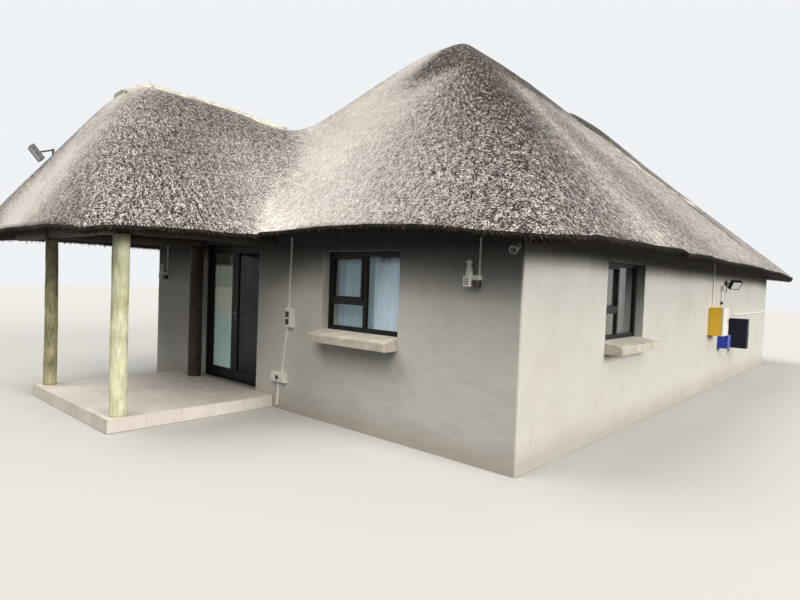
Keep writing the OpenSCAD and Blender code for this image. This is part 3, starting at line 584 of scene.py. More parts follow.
def pull_to_eave(bm):
    """Moves the points left outside the eave line onto it."""
    outer = [v for v, over in zip(bm.verts, over_eave(*plan_of(bm.verts))) if over <= 0]
    x, y = plan_of(outer)
    for _ in range(5):
        g = over_eave(x, y)
        gx, gy = gradient(over_eave, x, y)
        size = gx * gx + gy * gy + 1e-9
        x, y = x - g * gx / size, y - g * gy / size
    for v, a, b in zip(outer, x, y):
        v.co.x, v.co.y = a, b


def lift_and_roughen(bm):
    """Lifts the grid to the roof and gives it the lumps of hand-dressed thatch."""
    x, y = plan_of(bm.verts)
    for v, height, a, b in zip(bm.verts, roof_z(x, y), *gradient(roof_z, x, y)):
        p = Vector((v.co.x, v.co.y, height))
        v.co = p + Vector((-a, -b, 1)).normalized() * lumps_at(p, SKIN_LUMPS)
    bm.normal_update()


def set_slope_uv(bm):
    uv = bm.loops.layers.uv.new("slope")
    centres = np.array([f.calc_center_median()[:2] for f in bm.faces])
    owner = top_hump(centres[:, 0], centres[:, 1])
    corners = [(loop, owner[i]) for i, f in enumerate(bm.faces) for loop in f.loops]
    x, y = plan_of(loop.vert for loop, _ in corners)
    mine = [hump for _, hump in corners]
    along, down = zip(*(h.along_and_down(x, y) for h in HUMPS))
    for (loop, _), u, v in zip(corners, np.choose(mine, along), np.choose(mine, down)):
        loop[uv].uv = (u, v)


def unit(v):
    """Rows of an array as unit vectors."""
    return v / np.maximum(np.linalg.norm(v, axis=1), 1e-9)[:, None]


def slope_frame(p):
    """Down-slope, outward and sideways directions of the roof at an array of points."""
    gx, gy = gradient(roof_z, p[:, 0], p[:, 1])
    out = unit(np.stack([-gx, -gy, np.ones_like(gx)], 1))
    down = unit(np.stack([-gx, -gy, -(gx * gx + gy * gy)], 1))
    return down, out, np.cross(down, out)


def straws(name, root, way, side, length, width, tone, sun, material):
    """Many straws as one mesh: each is a flat blade from its root along its way."""
    n = len(root)
    w = width[:, None] / 2
    tip = root + way * length[:, None]
    mesh = bpy.data.meshes.new(name)
    mesh.vertices.add(n * 4)
    mesh.vertices.foreach_set("co", np.stack([root - side * w, root + side * w, tip + side * w * 0.7,
                                              tip - side * w * 0.7], 1).ravel())
    mesh.loops.add(n * 4)
    mesh.loops.foreach_set("vertex_index", np.arange(n * 4))
    mesh.polygons.add(n)
    mesh.polygons.foreach_set("loop_start", np.arange(n) * 4)
    mesh.polygons.foreach_set("loop_total", np.full(n, 4))
    for layer, u, v in (("straw", tone, np.tile([0, 0, 1, 1], n)), ("sun", sun, np.zeros(n * 4))):
        mesh.uv_layers.new(name=layer).data.foreach_set("uv", np.stack([np.repeat(u, 4), v], 1).ravel())
    mesh.update()
    mesh.validate()
    piece(name, mesh, "thatch", material)


def slope_straws(name, hump, count, material, rng):
    """Straw ends on the slope of one hump, lifted out of it and out of line."""
    found = []
    while sum(map(len, found)) < count:
        x = rng.uniform(*hump.eave_x, count)
        y = rng.uniform(*hump.eave_y, count)
        gx, gy = gradient(roof_z, x, y)
        steep = np.sqrt(1 + gx * gx + gy * gy)
        clear = (from_line(x, y, CAP_LINE) > CAP_HALF) & (weather(x, y)[1] < 0.4)
        mine = (over_eave(x, y) > 0.03) & (top_hump(x, y) == HUMPS.index(hump))
        keep = mine & (rng.uniform(0, 2.2, count) < steep) & clear
        found.append(np.stack([x[keep], y[keep]], 1))
    p = np.concatenate(found)[:count]
    dark, _, bleached = weather(p[:, 0], p[:, 1])
    root = np.column_stack([p, roof_z(p[:, 0], p[:, 1])])
    down, out, side = slope_frame(root)
    lift = rng.normal(0.30, 0.14, count)[:, None]
    lean = rng.normal(0, 0.3, count)[:, None]
    way = unit(down + out * lift + side * lean)
    # The straws take the darkness of their place, so they carry the painted shade of the crease and the
    # valley too.
    tone = dot_tone(rng.uniform(0.05, 1.05, count), dark)
    straws(name, root - out * 0.004, way, unit(np.cross(way, out)), rng.uniform(0.008, 0.020, count),
           rng.uniform(0.004, 0.007, count), tone, bleached, material)


def eave_straws(name, ends, per_metre, depth, length, spread, material, rng):
    """Straw ends along the eave: from the outer lip down the sheared face, as far as depth."""
    step = np.linalg.norm(ends[:, 1] - ends[:, 0], axis=1)
    chosen = rng.choice(len(ends), int(step.sum() * per_metre), p=step / step.sum())
    count = len(chosen)
    t = rng.uniform(0, 1, count)[:, None]
    lip = ends[chosen, 0] * (1 - t) + ends[chosen, 1] * t
    down, out, side = slope_frame(lip)
    inward = rng.uniform(0, 1, count)[:, None] * depth
    way = down + out * rng.normal(0, spread, count)[:, None] + side * rng.normal(0, spread, count)[:, None]
    way[:, 2] -= np.abs(rng.normal(0, spread, count))
    way = unit(way)
    reach = 0.03 + rng.gamma(2.0, length / 2, count)
    # Painted shade: the farther in from the lip a straw stands, the darker it is.
    tone = rng.beta(1.6, 1.6, count) * np.clip(1 - 1.6 * inward[:, 0] / max(depth, 0.05), 0, 1)
    straws(name, lip - out * inward - down * 0.03, way, unit(np.cross(way, out)), reach,
           rng.uniform(0.005, 0.009, count), np.clip(tone, 0.02, 1), np.zeros(count), material)


def thatch():
    rng = np.random.default_rng(SEED)
    top = thatch_material("weathered_grass_thatch", "#e3deda", "#d3cdc8", "#28211f", "#ece9e4", "#d8d2c6")
    eave = thatch_skin([top, cut_material(), under_material()])
    grey = straw_material("grey_straw_ends", "#ddd8d4", "#2e2724", "#eae7e2")
    for name, hump, count in (("main", MAIN, 98000), ("rear", REAR, 80000), ("porch", PORCH, 80000)):
        slope_straws(name + "_roof_straws", hump, count, grey, rng)
    # The fringe and the stray straws are dark brown: partly the brown of the sheared ends, partly painted
    # shade under the eave.
    fringe = straw_material("eave_straw_ends", "#665748", "#0b0806", "#665748")
    eave_straws("eave_fringe", eave, 900, LIP_THICK, 0.016, 0.14, fringe, rng)
    stray = straw_material("stray_straw", "#6b5a48", "#2a2018", "#6b5a48")
    eave_straws("stray_straws", eave, 2, 0.02, 0.04, 0.3, stray, rng)


# Walls

WALL_CELL = 0.12
WALL_WAVES = ((0.8, 0.004), (2.6, 0.003), (9.0, 0.0015))
CORNER_ROUND = 0.022


def plaster_wall(node_name, slot, material):
    """A plastered wall: its outer corners rounded by hand and its faces a little wavy."""
    bm = merged_copy(node_name)
    corners = [e for e in bm.edges if is_house_corner(e)]
    if corners:
        bevel(bm, corners, CORNER_ROUND, 4)
    low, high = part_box(node_name)
    cut_up(bm, [math.ceil(v / WALL_CELL) * WALL_CELL for v in low], high, WALL_CELL)
    roughen(bm, WALL_WAVES)
    fitted(node_name + "_plaster", bm, slot, material, replaces=[node_name], edge=0)


def is_house_corner(edge):
    """Upright edges at the corners of the house's outline."""
    a, b = (v.co for v in edge.verts)
    if abs(a.x - b.x) + abs(a.y - b.y) > 0.001 or abs(a.z - b.z) < 1:
        return False
    return any(abs(a.x - x) < 0.01 and abs(a.y - y) < 0.01
               for x in (WALL_LOW.x, WALL_HIGH.x) for y in (WALL_LOW.y, WALL_HIGH.y))


WALLS = {"shaded_plaster": ("front_wall_right", "front_wall_left", "door_lintel"),
         "plaster": ("side_wall", "rear_side_wall", "rear_wall", "rear_left_wall", "left_wall")}


def walls():
    # The last two colours are the painted eave shade: on walls that face the front, and on the others.
    floated = plaster_material("floated_plaster", "#cfcec9", "#aaa499", "#1b2022", "#4a4637")
    for slot, node_names in WALLS.items():
        for node_name in node_names:
            plaster_wall(node_name, slot, floated)


# Built shapes

def block(bm, low, high, material=0):
    """An upright box between two corners; returns its points."""
    low, high = Vector(low), Vector(high)
    place = Matrix.Translation((low + high) / 2) @ Matrix.Diagonal((*(high - low), 1))
    made = bmesh.ops.create_cube(bm, size=1, matrix=place)["verts"]
    paint(made, material)
    return made


def bar(bm, p, q, r0, r1=None, segments=20, material=0):
    """A round bar between two points, which may taper."""
    p, q = Vector(p), Vector(q)
    place = Matrix.Translation((p + q) / 2) @ (q - p).to_track_quat("Z", "Y").to_matrix().to_4x4()
    made = bmesh.ops.create_cone(bm, cap_ends=True, segments=segments, radius1=r0, radius2=r1 or r0,
                                 depth=(q - p).length, matrix=place)["verts"]
    paint(made, material)


def ring(bm, low, high, width, material=0, axis=1):
    """A picture-frame ring between two corners, with its opening along an axis."""
    across = 1 - axis
    a, b = (low[across], low[2]), (high[across], high[2])
    for start, end in ((a, (b[0], a[1] + width)), ((a[0], b[1] - width), b),
                       ((a[0], a[1] + width), (a[0] + width, b[1] - width)),
                       ((b[0] - width, a[1] + width), (b[0], b[1] - width))):
        corner, far = list(low), list(high)
        corner[across], corner[2] = start
        far[across], far[2] = end
        block(bm, corner, far, material)


def paint(verts, material):
    for f in {f for v in verts for f in v.link_faces}:
        f.material_index = material


# Windows: the foot corner of each opening on the outer wall face, and its turn. In a window's own frame X
# runs along the opening, Y into the house and Z up from the opening's foot.
WINDOW_W, WINDOW_H = 1.2, 0.9
WINDOWS = {"front": ((0.785, WALL_LOW.y, 1.07), 0), "side": ((WALL_HIGH.x, -1.575, 1.07), 90),
           "rear": ((0.6, WALL_HIGH.y, 1.07), 180), "left": ((WALL_LOW.x, 0.825, 1.07), -90)}
PANES = (((0.045, 0.045), (0.5775, 0.3075)), ((0.077, 0.3845), (0.5455, 0.823)),
         ((0.6225, 0.045), (1.155, 0.855)))
FRAME_FRONT, GLASS_FRONT = 0.1, 0.122


def placed(window):
    corner, turn = WINDOWS[window]
    return Matrix.Translation(corner) @ Matrix.Rotation(math.radians(turn), 4, "Z")


def windows(bronze, glass):
    """Frames and panes of the solids, with the sash's proud ring, glazing beads, a drip strip and a stay."""
    dress("window_frames", bronze, 0.003)
    dress("window_glass", glass)
    for window in WINDOWS:
        bm = bmesh.new()
        ring(bm, (0.05, FRAME_FRONT - 0.012, 0.357), (0.573, FRAME_FRONT + 0.001, 0.85), 0.03)
        for low, high in PANES:
            ring(bm, (low[0], GLASS_FRONT - 0.012, low[1]), (high[0], GLASS_FRONT, high[1]), 0.009)
        block(bm, (0.03, FRAME_FRONT - 0.018, WINDOW_H - 0.032),
              (WINDOW_W - 0.03, FRAME_FRONT, WINDOW_H - 0.02))
        block(bm, (0.14, 0.152, 0.362), (0.44, 0.158, 0.374))
        for x in (0.16, 0.42):
            bar(bm, (x, 0.148, 0.368), (x, 0.168, 0.368), 0.006, segments=12)
        fitted(window + "_window_beads", bm, "bronze_frame", bronze, place=placed(window))


# Curtains

def cloth(width, height, folds, depth, rng):
    """A gathered cloth that hangs in folds, as a mesh in its own frame: X along the rod, Y through the folds
    and Z up from its hem. Returns it with the width that it was cut to."""
    columns, rows = folds * 12, 24
    turns = np.cumsum(rng.uniform(0.6, 1.4, folds))
    turns = np.concatenate([[0], turns]) / turns[-1]
    sizes = rng.uniform(0.55, 1.0, folds + 1)
    s = np.linspace(0, 1, columns + 1)
    phase = np.interp(s, turns, np.arange(folds + 1)) * 2 * math.pi
    size = np.interp(s, turns, sizes) * depth / 2
    t = np.linspace(0, 1, rows + 1)[:, None]
    drift = 0.35 * np.sin(3.1 * t + 1)
    x = s * width
    y = size * np.sin(phase + drift) * (0.82 + 0.18 * (1 - t))
    steps = np.hypot(np.diff(x), np.diff(y, axis=1))
    lengths = np.concatenate([np.zeros((rows + 1, 1)), np.cumsum(steps, axis=1)], axis=1)
    bm = bmesh.new()
    bmesh.ops.create_grid(bm, x_segments=columns, y_segments=rows, size=0.5)
    uv = bm.loops.layers.uv.new("cloth")
    spot = {v: (round((v.co.y + 0.5) * rows), round((v.co.x + 0.5) * columns)) for v in bm.verts}
    for face in bm.faces:
        for loop in face.loops:
            j, i = spot[loop.vert]
            loop[uv].uv = (lengths[j][i], j / rows * height)
    for v, (j, i) in spot.items():
        v.co = (x[i], y[j][i], j / rows * height)
    return bm, float(np.mean(lengths[:, -1]))


def curtain(name, size, folds, depth, place, slot, material, rest, rng, held, **fit):
    bm, cut = cloth(*size, folds, depth, rng)
    hung = fitted(name, bm, slot, material, edge=0, place=place, smooth=True, **fit)


def window_curtains(rng, metal):
    """Curtains on rods behind the front and side windows. The side window has a pale and a dark one."""
    # Painted shade: the voiles turn dark blue over their top, under the window head.
    top_shade = ((0.80, 0.90, "#2c3650"),)
    # The blue of these voiles is partly their own colour and partly painted reflection of the sky in the
    # glass.
    bluish = cloth_material("pale_blue_voile", "#dfe9fb", "#8ea2c0", top_shade)
    teal = cloth_material("teal_blue_voile", "#9fb6c8", "#4c6676", top_shade)
    olive = cloth_material("olive_curtain", "#3d3b26", "#17170f")
    for window, runs in (("front", ((-0.04, 0.59, 8, teal), (0.59, 1.24, 9, bluish))),
                         ("side", ((-0.04, 0.60, 9, bluish), (0.64, 1.24, 8, olive)))):
        bm = bmesh.new()
        bar(bm, (-0.055, 0.27, 0.945), (1.255, 0.27, 0.945), 0.009, segments=16)
        for x in (-0.03, 1.21):
            block(bm, (x, 0.25, 0.935), (x + 0.02, 0.29, 0.957))
        rod = fitted(window + "_curtain_rod", bm, "lamp_metal", metal, place=placed(window))
        for k, (x0, x1, folds, material) in enumerate(runs):
            curtain(f"{window}_curtain_{k + 1}", (x1 - x0, 0.975), folds, 0.034,
                    placed(window) @ Matrix.Translation((x0, 0.27, -0.05)), "curtain_cloth", material,
                    rod.name, rng, "gathered", replaces=["window_curtains"])


# Door

LEAVES = {"left": (-1.877, -1.309), "right": (-1.181, -0.613)}
LEAF_CURTAIN_Y, LEAF_CURTAIN_Z = (-3.25, -3.232), (0.288, 1.987)
# How far the glazing beads stand inside the outline of the leaf's curtain on every side
GLASS_IN = 0.01


def door(bronze, glass, rng):
    """The door's frame and leaves, glazing beads, half curtains and the lever's keyhole plates."""
    for node_name in ("door_frame", "left_leaf_frame", "right_leaf_frame"):
        dress(node_name, bronze, 0.003)
    # The dark olive band at the top of the cream voile is painted shade.
    cream = cloth_material("cream_and_aqua_voile", "#e4f2ef", "#7f8a7a",
                           ((0.70, 0.92, "#f4ecd8"), (1.18, 1.20, "#c9c8b8"), (1.48, 1.53, "#3c3f28")))
    cloths = {"left": (cream, "cream_curtain"),
              "right": (cloth_material("navy_voile", "#0a0e17", "#030405"), "blue_curtain")}
    (y0, y1), (z0, z1) = LEAF_CURTAIN_Y, LEAF_CURTAIN_Z
    for side, (x0, x1) in LEAVES.items():
        body = side + "_door_leaf"
        dress(side + "_leaf_glass", glass)
        bm = bmesh.new()
        for front, back in ((-3.285, -3.273), (-3.267, -3.255)):
            ring(bm, (x0 + GLASS_IN, front, z0 + GLASS_IN), (x1 - GLASS_IN, back, z1 - GLASS_IN), 0.01)
        fitted(side + "_leaf_beads", bm, "bronze_frame", bronze, body=body)
        material, slot = cloths[side]
        curtain(side + "_leaf_voile", (x1 - x0, z1 - z0), 15, 0.8 * (y1 - y0),
                Matrix.Translation((x0, (y0 + y1) / 2, z0)), slot, material, side + "_leaf_frame", rng,
                "stretched", body=body, replaces=[side + "_leaf_curtain"])
    satin = plain_material("black_satin_lever", "#1c1b1a", 0.35, grain=60)
    dress("door_handles", satin, 0.002)
    bm = bmesh.new()
    x = (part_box("right_leaf_frame")[0].x + LEAVES["right"][0] + GLASS_IN) / 2
    bar(bm, (x, -3.3015, 1.045), (x, -3.296, 1.045), 0.012, segments=24)
    bar(bm, (x, -3.3025, 1.045), (x, -3.3, 1.045), 0.004, segments=12, material=1)
    fitted("door_keyhole", bm, "black_handle", plain_material("steel_keyhole", "#77756f", 0.4, 0.8), satin,
           body="right_door_leaf", edge=0.0006)


# Gum poles

POLE_SEGMENTS, POLE_RING = 56, 0.03


def gum_pole(name, p, q, r0, r1, bow, finish, replaces, rng):
    """A peeled gum pole between two points: it tapers, bows, swells at knots and opens in drying cracks."""
    p, q = Vector(p), Vector(q)
    axis = (q - p).normalized()
    length = (q - p).length
    side = axis.orthogonal().normalized()
    other = axis.cross(side)
    lean = rng.uniform(0, 2 * math.pi)
    bend = (side * math.cos(lean) + other * math.sin(lean)) * bow
    rings = max(int(length / POLE_RING), 4)
    knots = [(rng.uniform(0.1, 0.9) * length, rng.uniform(0, 2 * math.pi), rng.uniform(0.004, 0.009))
             for _ in range(int(length * 4))]
    cracks = [(rng.uniform(0, 2 * math.pi), rng.uniform(0.2, 0.75), rng.uniform(0.35, 0.9),
               rng.uniform(0.004, 0.009)) for _ in range(7)]
    bm = bmesh.new()
    uv = bm.loops.layers.uv.new("grain")
    marks = bm.verts.layers.float_color.new("crack")
    bmesh.ops.create_cone(bm, cap_ends=True, segments=POLE_SEGMENTS, radius1=1, radius2=1, depth=1)
    upright = [e for e in bm.edges if abs(e.verts[0].co.z - e.verts[1].co.z) > 0.5]
    bmesh.ops.subdivide_edges(bm, edges=upright, cuts=rings - 1, use_grid_fill=True)
    spot = {v: (v.co.z + 0.5, math.atan2(v.co.y, v.co.x)) for v in bm.verts}
    for face in bm.faces:
        turned = max(spot[v][1] for v in face.verts) > 2
        for loop in face.loops:
            t, a = spot[loop.vert]
            loop[uv].uv = ((a + 2 * math.pi if turned and a < -2 else a) * r0, t * length)
    for v, (t, a) in spot.items():
        along = t * length
        middle = p + axis * along + bend * math.sin(math.pi * t)
        radius = r0 + (r1 - r0) * t
        way = side * math.cos(a) + other * math.sin(a)
        grow = 0.006 * noise.noise((p + axis * along) * 2.5 + way * 0.9)
        for at, around, size in knots:
            turn = math.remainder(a - around, 2 * math.pi) * radius
            grow += size * math.exp(-((along - at) / 0.045) ** 2 - (turn / 0.035) ** 2)
        depth = 0
        for around, low, high, size in cracks:
            wander = around + 0.10 * math.sin(along * 4 + around) + 0.05 * math.sin(along * 13)
            turn = abs(math.remainder(a - wander, 2 * math.pi)) * radius
            fade = min(max((t - low) / 0.08, 0), 1) * min(max((high - t) / 0.08, 0), 1)
            depth = max(depth, fade * size * max(1 - turn / 0.009, 0))
        v.co = middle + way * (radius + grow - depth)
        v[marks] = (min(depth / 0.005, 1), 0, 0, 1)
    fitted(name, bm, "gum_pole", finish, replaces=[replaces], edge=0, smooth=True)


POST_FOOT, POST_HEAD = 0.15, 2.04
# Foot, radius at the foot and the head, bow and which finish
POSTS = [((-0.21, -5.26), 0.0875, 0.083, 0.006, 0), ((-2.4, -5.26), 0.076, 0.071, 0.005, 1),
         ((-1.96, -3.495), 0.094, 0.09, 0.0, 2)]
BEAM_Z, BEAM_R = 2.115, 0.075
BEAMS = [((-3.8, -5.26), (-0.21, -5.26)), ((-0.21, -5.335), (-0.21, WALL_LOW.y)),
         ((-2.418, -5.333), (-1.942, -3.422))]


def poles(rng):
    finishes = [pole_material("weathered_gum_pole", "#e0e2c2", "#aeb08b"),
                pole_material("shaded_gum_pole", "#a9a581", "#67634a"),
                pole_material("dark_gum_pole", "#3b3329", "#1a1511")]
    for k, ((x, y), r0, r1, bow, finish) in enumerate(POSTS):
        gum_pole(f"gum_post_{k + 1}", (x, y, POST_FOOT), (x, y, POST_HEAD), r0, r1, bow, finishes[finish],
                 "porch_posts", rng)
    for k, (p, q) in enumerate(BEAMS):
        gum_pole(f"gum_beam_{k + 1}", (*p, BEAM_Z), (*q, BEAM_Z), BEAM_R, BEAM_R - 0.004, 0.0, finishes[2],
                 "porch_beams", rng)


# Floors, sills and ridge mortar

TILE, GROUT, TILE_THICK = 0.4, 0.004, 0.009


def porch_tiles(rng):
    """The porch slab in tiles: whole ones from the open corner, cut ones along the wall and on its edges."""
    low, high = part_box("porch_floor")
    bm = bmesh.new()
    block(bm, low + Vector((0.002, 0.002, 0)), Vector((high.x - 0.002, high.y, high.z - 0.003)), 1)
    tone = bm.verts.layers.float_color.new("tone")

    def lay(corner, far):
        shade = rng.uniform(0, 1)
        for v in block(bm, corner, far):
            v[tone] = (shade, 0, 0, 1)

    x = high.x
    while x > low.x + 0.02:
        y = low.y
        while y < high.y - 0.02:
            lay((max(x - TILE + GROUT, low.x), y, high.z - TILE_THICK),
                (x, min(y + TILE - GROUT, high.y), high.z))
            y += TILE
        x -= TILE
    for corner, far, axis in (((low.x, low.y), (high.x, low.y + TILE_THICK), 0),
                              ((high.x - TILE_THICK, low.y), (high.x, high.y), 1),
                              ((low.x, low.y), (low.x + TILE_THICK, high.y), 1)):
        at, end = corner[axis], far[axis]
        while at < end - 0.02:
            start, stop = list(corner), list(far)
            start[axis], stop[axis] = at, min(at + TILE - GROUT, end)
            lay((*start, 0.004), (*stop, high.z - 0.010))
            at += TILE
    grout = plain_material("sanded_grout", "#b9b1a7", 0.9)
    fitted("porch_tiling", bm, "porch_tiles", tile_material(), grout, replaces=["porch_floor"], edge=0.0012)


def sills():
    """Rough-cast sills with worn corners."""
    bm = merged_copy("window_sills")
    bevel(bm, sharp_edges(bm), 0.006, 2)
    long_edges = [e for e in bm.edges if e.calc_length() > 0.06]
    bmesh.ops.subdivide_edges(bm, edges=long_edges, cuts=12, use_grid_fill=True)
    roughen(bm, ((7, 0.005), (24, 0.003)))
    cast = cement_material("rough_cast_concrete", 7, (0.3, 0.7), "#b4aca0", "#ded8cc", 60, 6, (0.8, 0.012))
    fitted("cast_sills", bm, "sill_concrete", cast, replaces=["window_sills"], edge=0, smooth=True)


CAP_CELL = 0.05


def ridge_cap():
    bm = merged_copy("porch_ridge_cap")
    low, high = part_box("porch_ridge_cap")
    cut_up(bm, [v + CAP_CELL for v in low], high, CAP_CELL)
    roughen(bm, ((6, 0.016), (17, 0.010), (45, 0.004)))
    mortar = cement_material("ridge_cap_mortar", 11, (0.36, 0.62), "#8e887c", "#d9d6cb", 80, 5, (0.9, 0.01))
    fitted("ridge_cap_mortar", bm, "ridge_mortar", mortar, replaces=["porch_ridge_cap"], edge=0, smooth=True)


# Fittings

def conduits_and_boxes(white, black):
    dress("wall_conduits", white)
    x, y = WALL_HIGH.x, WALL_LOW.y
    bm = bmesh.new()
    block(bm, (0.155, y - 0.04, 1.04), (0.28, y, 1.28))
    block(bm, (0.159, y - 0.048, 1.048), (0.276, y - 0.041, 1.272))
    for z in (1.11, 1.20):
        block(bm, (0.164, y - 0.054, z - 0.036), (0.226, y - 0.047, z + 0.036), 1)
    block(bm, (-0.10, y - 0.048, 0.34), (0.16, y, 0.46))
    block(bm, (-0.092, y - 0.058, 0.348), (0.152, y - 0.049, 0.452))
    bar(bm, (0.03, y - 0.061, 0.40), (0.03, y - 0.057, 0.40), 0.03, segments=32, material=1)
    for middle in (-0.05, 0.11):
        block(bm, (middle - 0.014, y - 0.061, 0.385), (middle + 0.014, y - 0.057, 0.415))
    block(bm, (x, 3.58, 1.70), (x + 0.052, 3.67, 1.79))
    block(bm, (x + 0.053, 3.585, 1.705), (x + 0.06, 3.665, 1.785))
    fitted("switch_and_socket_boxes", bm, "white_plastic", white, black, replaces=["switch_boxes"],
           edge=0.002)
    bm = bmesh.new()
    block(bm, (x + 0.005, 3.60, 1.455), (x + 0.035, 3.65, 1.505))
    fitted("black_pipe_clip", bm, "black_lamp_metal", black)


# Foot of each lantern in plan and height, and where its conduit meets the eave
LANTERNS = {"corner": (2.865, 1.63, 2.2), "porch": (-3.165, 1.56, 2.15)}


def lanterns(white, black):
    """Wall lanterns: a slotted base box, a cone of greenish glass with its cap, and a dusk sensor beside."""
    milk = plain_material("greenish_milk_glass", "#eaf4e8", 0.2)
    x, y = 0.01, -0.048
    for name, (across, foot, top) in LANTERNS.items():
        bm = bmesh.new()
        block(bm, (-0.025, -0.095, 0), (0.045, 0, 0.095))
        for z in (0.02, 0.042, 0.064):
            block(bm, (-0.013, -0.098, z), (0.033, -0.094, z + 0.008), 1)
        bar(bm, (x, y, 0.094), (x, y, 0.216), 0.034, 0.014, segments=32, material=2)
        bar(bm, (x, y, 0.215), (x, y, 0.229), 0.034, segments=32)
        bar(bm, (x, y, 0.228), (x, y, 0.246), 0.014, segments=20)
        for i in range(4):
            turn = math.pi / 4 + i * math.pi / 2
            way = Vector((math.cos(turn), math.sin(turn), 0))
            foot_end, cap_end = Vector((x, y, 0.095)) + way * 0.035, Vector((x, y, 0.216)) + way * 0.017
            bar(bm, foot_end, cap_end, 0.0025, segments=8)
        bar(bm, (0.085, -0.035, -0.005), (0.085, -0.035, 0.06), 0.034, segments=28, material=1)
        block(bm, (0.05, -0.06, 0.06), (0.12, 0, 0.105))
        bar(bm, (0.092, -0.0072, 0.1), (0.099, -0.0072, top - foot), 0.009, segments=16)
        fitted(name + "_lantern", bm, "lamp_metal", white, black, milk, replaces=["wall_lamps"], edge=0.001,
               place=Matrix.Translation((across, WALL_LOW.y, foot)))


def floodlights(black):
    """The housings with their lenses, a rim round each lens and the wing nuts of their brackets."""
    dress("floodlights", black, 0.004)
    bm = bmesh.new()
    turn = Matrix.Rotation(math.radians(-35), 4, "Z") @ Matrix.Rotation(math.radians(30), 4, "Y")
    block(bm, (0.044, -0.088, -0.078), (0.049, 0.088, 0.058))
    ring(bm, (0.044, -0.1, -0.09), (0.053, 0.1, 0.07), 0.012, 1, axis=0)
    for y in (-0.108, 0.1):
        bar(bm, (0.01, y, 0), (0.01, y + 0.008, 0), 0.02, material=1)
    lens = plain_material("white_flood_lens", "#f6f6f4", 0.25)
    fitted("side_flood_lens", bm, "black_lamp_metal", lens, black,
           place=Matrix.Translation((WALL_HIGH.x + 0.14, 3.96, 1.83)) @ turn)
    at = Vector((-3.335, -5.105, 0))
    at.z = float(roof_z(at.x, at.y))
    turn = Matrix.Rotation(math.radians(-9), 4, "Z") @ Matrix.Rotation(math.radians(37), 4, "X")
    bm = bmesh.new()
    block(bm, (-0.126, -0.029, 0.054), (0.126, -0.024, 0.246))
    ring(bm, (-0.14, -0.034, 0.04), (0.14, -0.024, 0.26), 0.014, 1)
    for x in (-0.152, 0.14):
        bar(bm, (x, 0, 0.14), (x + 0.012, 0, 0.14), 0.024, material=1)
    lens = plain_material("green_grey_flood_glass", "#37443f", 0.15)
    fitted("roof_flood_lens", bm, "black_lamp_metal", lens, black, place=Matrix.Translation(at) @ turn)


CAMERA_AT, CAMERA_WAY = Vector((3.345, -3.46, 1.982)), Vector((0.118, -0.84, -0.53)).normalized()


def watch_camera(black):
    """The camera's cast case with a white ring, a black face and a lens."""
    dress("security_camera", plain_material("grey_green_camera_shell", "#a9b3a4", 0.4), 0.004)
    face = CAMERA_AT + CAMERA_WAY * 0.048
    bm = bmesh.new()
    for start, end, radius, count, finish in ((-0.004, 0.008, 0.039, 40, 0), (0.002, 0.010, 0.030, 40, 1),
                                              (0.002, 0.012, 0.011, 24, 2)):
        bar(bm, face + CAMERA_WAY * start, face + CAMERA_WAY * end, radius, segments=count, material=finish)
    white = plain_material("white_camera_ring", "#e8e9e4", 0.35)
    fitted("camera_face", bm, "white_plastic", white, black, plain_material("camera_lens", "#0b0d12", 0.1),
           edge=0.001)


def cabinet(low, high, door, inset, latch, door_finish, black):
    """A meter box on the wall: its door a little proud, a shadow gap round the door, and a latch given as its
    start and end from the door's edge, half its height and how deep it is let in."""
    start, end, half, sunk = latch
    middle = (low.z + high.z) / 2
    front = high.x - door
    bm = bmesh.new()
    block(bm, low, (front - 0.004, high.y, high.z))
    block(bm, (front - 0.006, low.y + inset, low.z + inset), (front, high.y - inset, high.z - inset), black)
    block(bm, (front, low.y, low.z), high, door_finish)
    block(bm, (high.x - sunk, high.y - start, middle - half),
          (high.x + 0.006, high.y - end, middle + half), black)
    return bm


def meter_boxes(black):
    amber = plain_material("amber_enamel", "#ffd032", 0.5, grain=8)
    white = plain_material("white_meter_door", "#eceae2", 0.35)
    made = cabinet(*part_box("yellow_meter_box"), 0.026, 0.006, (0.05, 0.03, 0.03, 0.002), 1, 2)
    fitted("yellow_meter_cabinet", made, "yellow_box", amber, white, black, replaces=["yellow_meter_box"],
           edge=0.006)
    royal = plain_material("royal_blue_enamel", "#2440c0", 0.35, grain=8)
    navy = plain_material("navy_enamel", "#06081f", 0.85, grain=8)
    x = WALL_HIGH.x
    for name, enamel, low, high in (("small_blue", royal, (x, 3.53, 0.68), (x + 0.165, 3.74, 0.92)),
                                    ("navy", navy, (x, 4.36, 0.64), (x + 0.3, 4.53, 1.19))):
        made = cabinet(Vector(low), Vector(high), 0.018, 0.005, (0.03, 0.015, 0.025, 0.001), 0, 1)
        fitted(name + "_meter_cabinet", made, "navy_box", enamel, black, replaces=["blue_meter_boxes"],
               edge=0.005)


def fittings():
    white = plain_material("white_pvc", "#f5f5f0", 0.45)
    black = plain_material("black_moulding", "#131313", 0.5)
    conduits_and_boxes(white, black)
    lanterns(white, black)
    dress("door_light", plain_material("aged_batten_light", "#bdb67c", 0.4), 0.003)
    floodlights(plain_material("black_lamp_housing", "#1d1d1f", 0.4))
    watch_camera(black)
    meter_boxes(black)


# Stage, light and camera

def seen_by_eye(tree):
    """1 for rays from the eye, also by way of glass and gloss, and 0 for rays that carry light."""
    seen = 0
    for kind in ("Is Camera Ray", "Is Glossy Ray", "Is Transmission Ray"):
        seen = add(tree, "Math", {0: seen, 1: add(tree, "LightPath", out=kind)}, operation="MAXIMUM")
    return seen


FLOOR_BOUNCE = "#3c3c38"


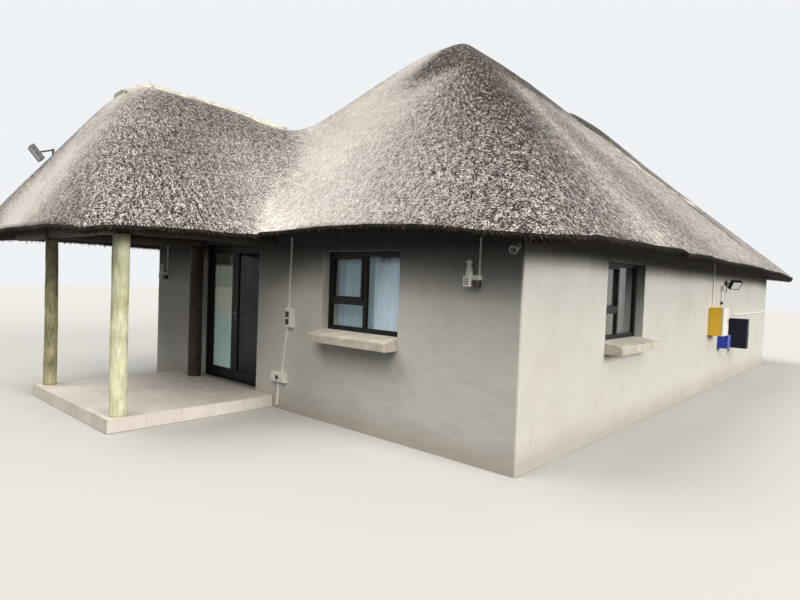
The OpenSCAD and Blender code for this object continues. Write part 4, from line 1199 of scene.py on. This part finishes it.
def stage():
    """A plain pale floor, level with the ground, that throws little light back up under the eaves."""
    bm = bmesh.new()
    bmesh.ops.create_grid(bm, x_segments=1, y_segments=1, size=60)
    mesh = bpy.data.meshes.new("pale_floor")
    bm.to_mesh(mesh)
    bm.free()
    floor = new_object("pale_floor", mesh)
    floor.location.z = -0.002
    mat, tree = new_material("matt_studio_floor", Roughness=0.9)
    tone = blend(tree, seen_by_eye(tree), FLOOR_BOUNCE, "#bebebb")
    mesh.materials.append(plug(mat, Base_Color=tone))


SKY_LOW, SKY_HIGH, SKY_SEEN = 0.10, 0.75, 0.93
# Name, strength, spread in degrees, colour and the way towards the lamp
LAMPS = [("high_soft_sun", 1.9, 40, "#fffaf4", (-0.35, -0.35, 0.87)),
         ("front_fill", 1.3, 40, "#fff4e4", (0.40, -0.60, 0.69)),
         ("low_side_sun", 2.7, 25, "#fffaf2", (0.93, 0.06, 0.33))]


def light():
    """Soft sky light, brightest overhead, a high soft sun, a fill on the front and a low sun on the side."""
    world = bpy.data.worlds.new("studio_sky")
    world.use_nodes = True
    bpy.context.scene.world = world
    tree = world.node_tree
    back = tree.nodes["Background"]
    height = add(tree, "SeparateXYZ", {0: add(tree, "TexCoord")}, 2)
    sky = add(tree, "MapRange", {"Value": height, "From Max": 0.9, "To Min": SKY_LOW, "To Max": SKY_HIGH})
    tree.links.new(add(tree, "Mix", {0: seen_by_eye(tree), 2: sky, 3: SKY_SEEN}), back.inputs["Strength"])
    back.inputs["Color"].default_value = linear("#f7fafc")
    for name, strength, spread, colour, towards in LAMPS:
        lamp = bpy.data.lights.new(name, "SUN")
        lamp.energy, lamp.angle = strength, math.radians(spread)
        lamp.color = linear(colour)[:3]
        new_object(name, lamp).matrix_world = Vector(towards).to_track_quat("Z", "Y").to_matrix().to_4x4()


EYE = Vector((5.788, -7.629, 1.652))
YAW, PITCH, ROLL = math.radians(41.839), math.radians(-1.883), math.radians(2.099)
LENS_MM = 25.12


def camera():
    """The photograph's viewpoint: eye height, in front of the corner."""
    data = bpy.data.cameras.new("viewpoint")
    data.lens, data.sensor_width, data.sensor_fit = LENS_MM, 36, "HORIZONTAL"
    data.clip_end = 200
    cam = new_object("viewpoint", data)
    cam.matrix_world = Matrix.Translation(EYE) @ Matrix.Rotation(YAW, 4, "Z") \
        @ Matrix.Rotation(math.pi / 2 + PITCH, 4, "X") @ Matrix.Rotation(ROLL, 4, "Z")
    bpy.context.scene.camera = cam


camera()
stage()
light()
bpy.context.scene.view_settings.view_transform = "Standard"
thatch()
walls()
bronze = frame_material()
rng = np.random.default_rng(SEED + 1)
windows(bronze, glass_material("float_glass", 1.35))
window_curtains(rng, plain_material("white_curtain_rod", "#d8d8d2", 0.4))
door(bronze, glass_material("low_gloss_door_glass", 1.12), rng)
poles(rng)
porch_tiles(rng)
dress("house_floor", plain_material("floor_screed", "#b7b0a3", 0.8, grain=12))
sills()
ridge_cap()
fittings()
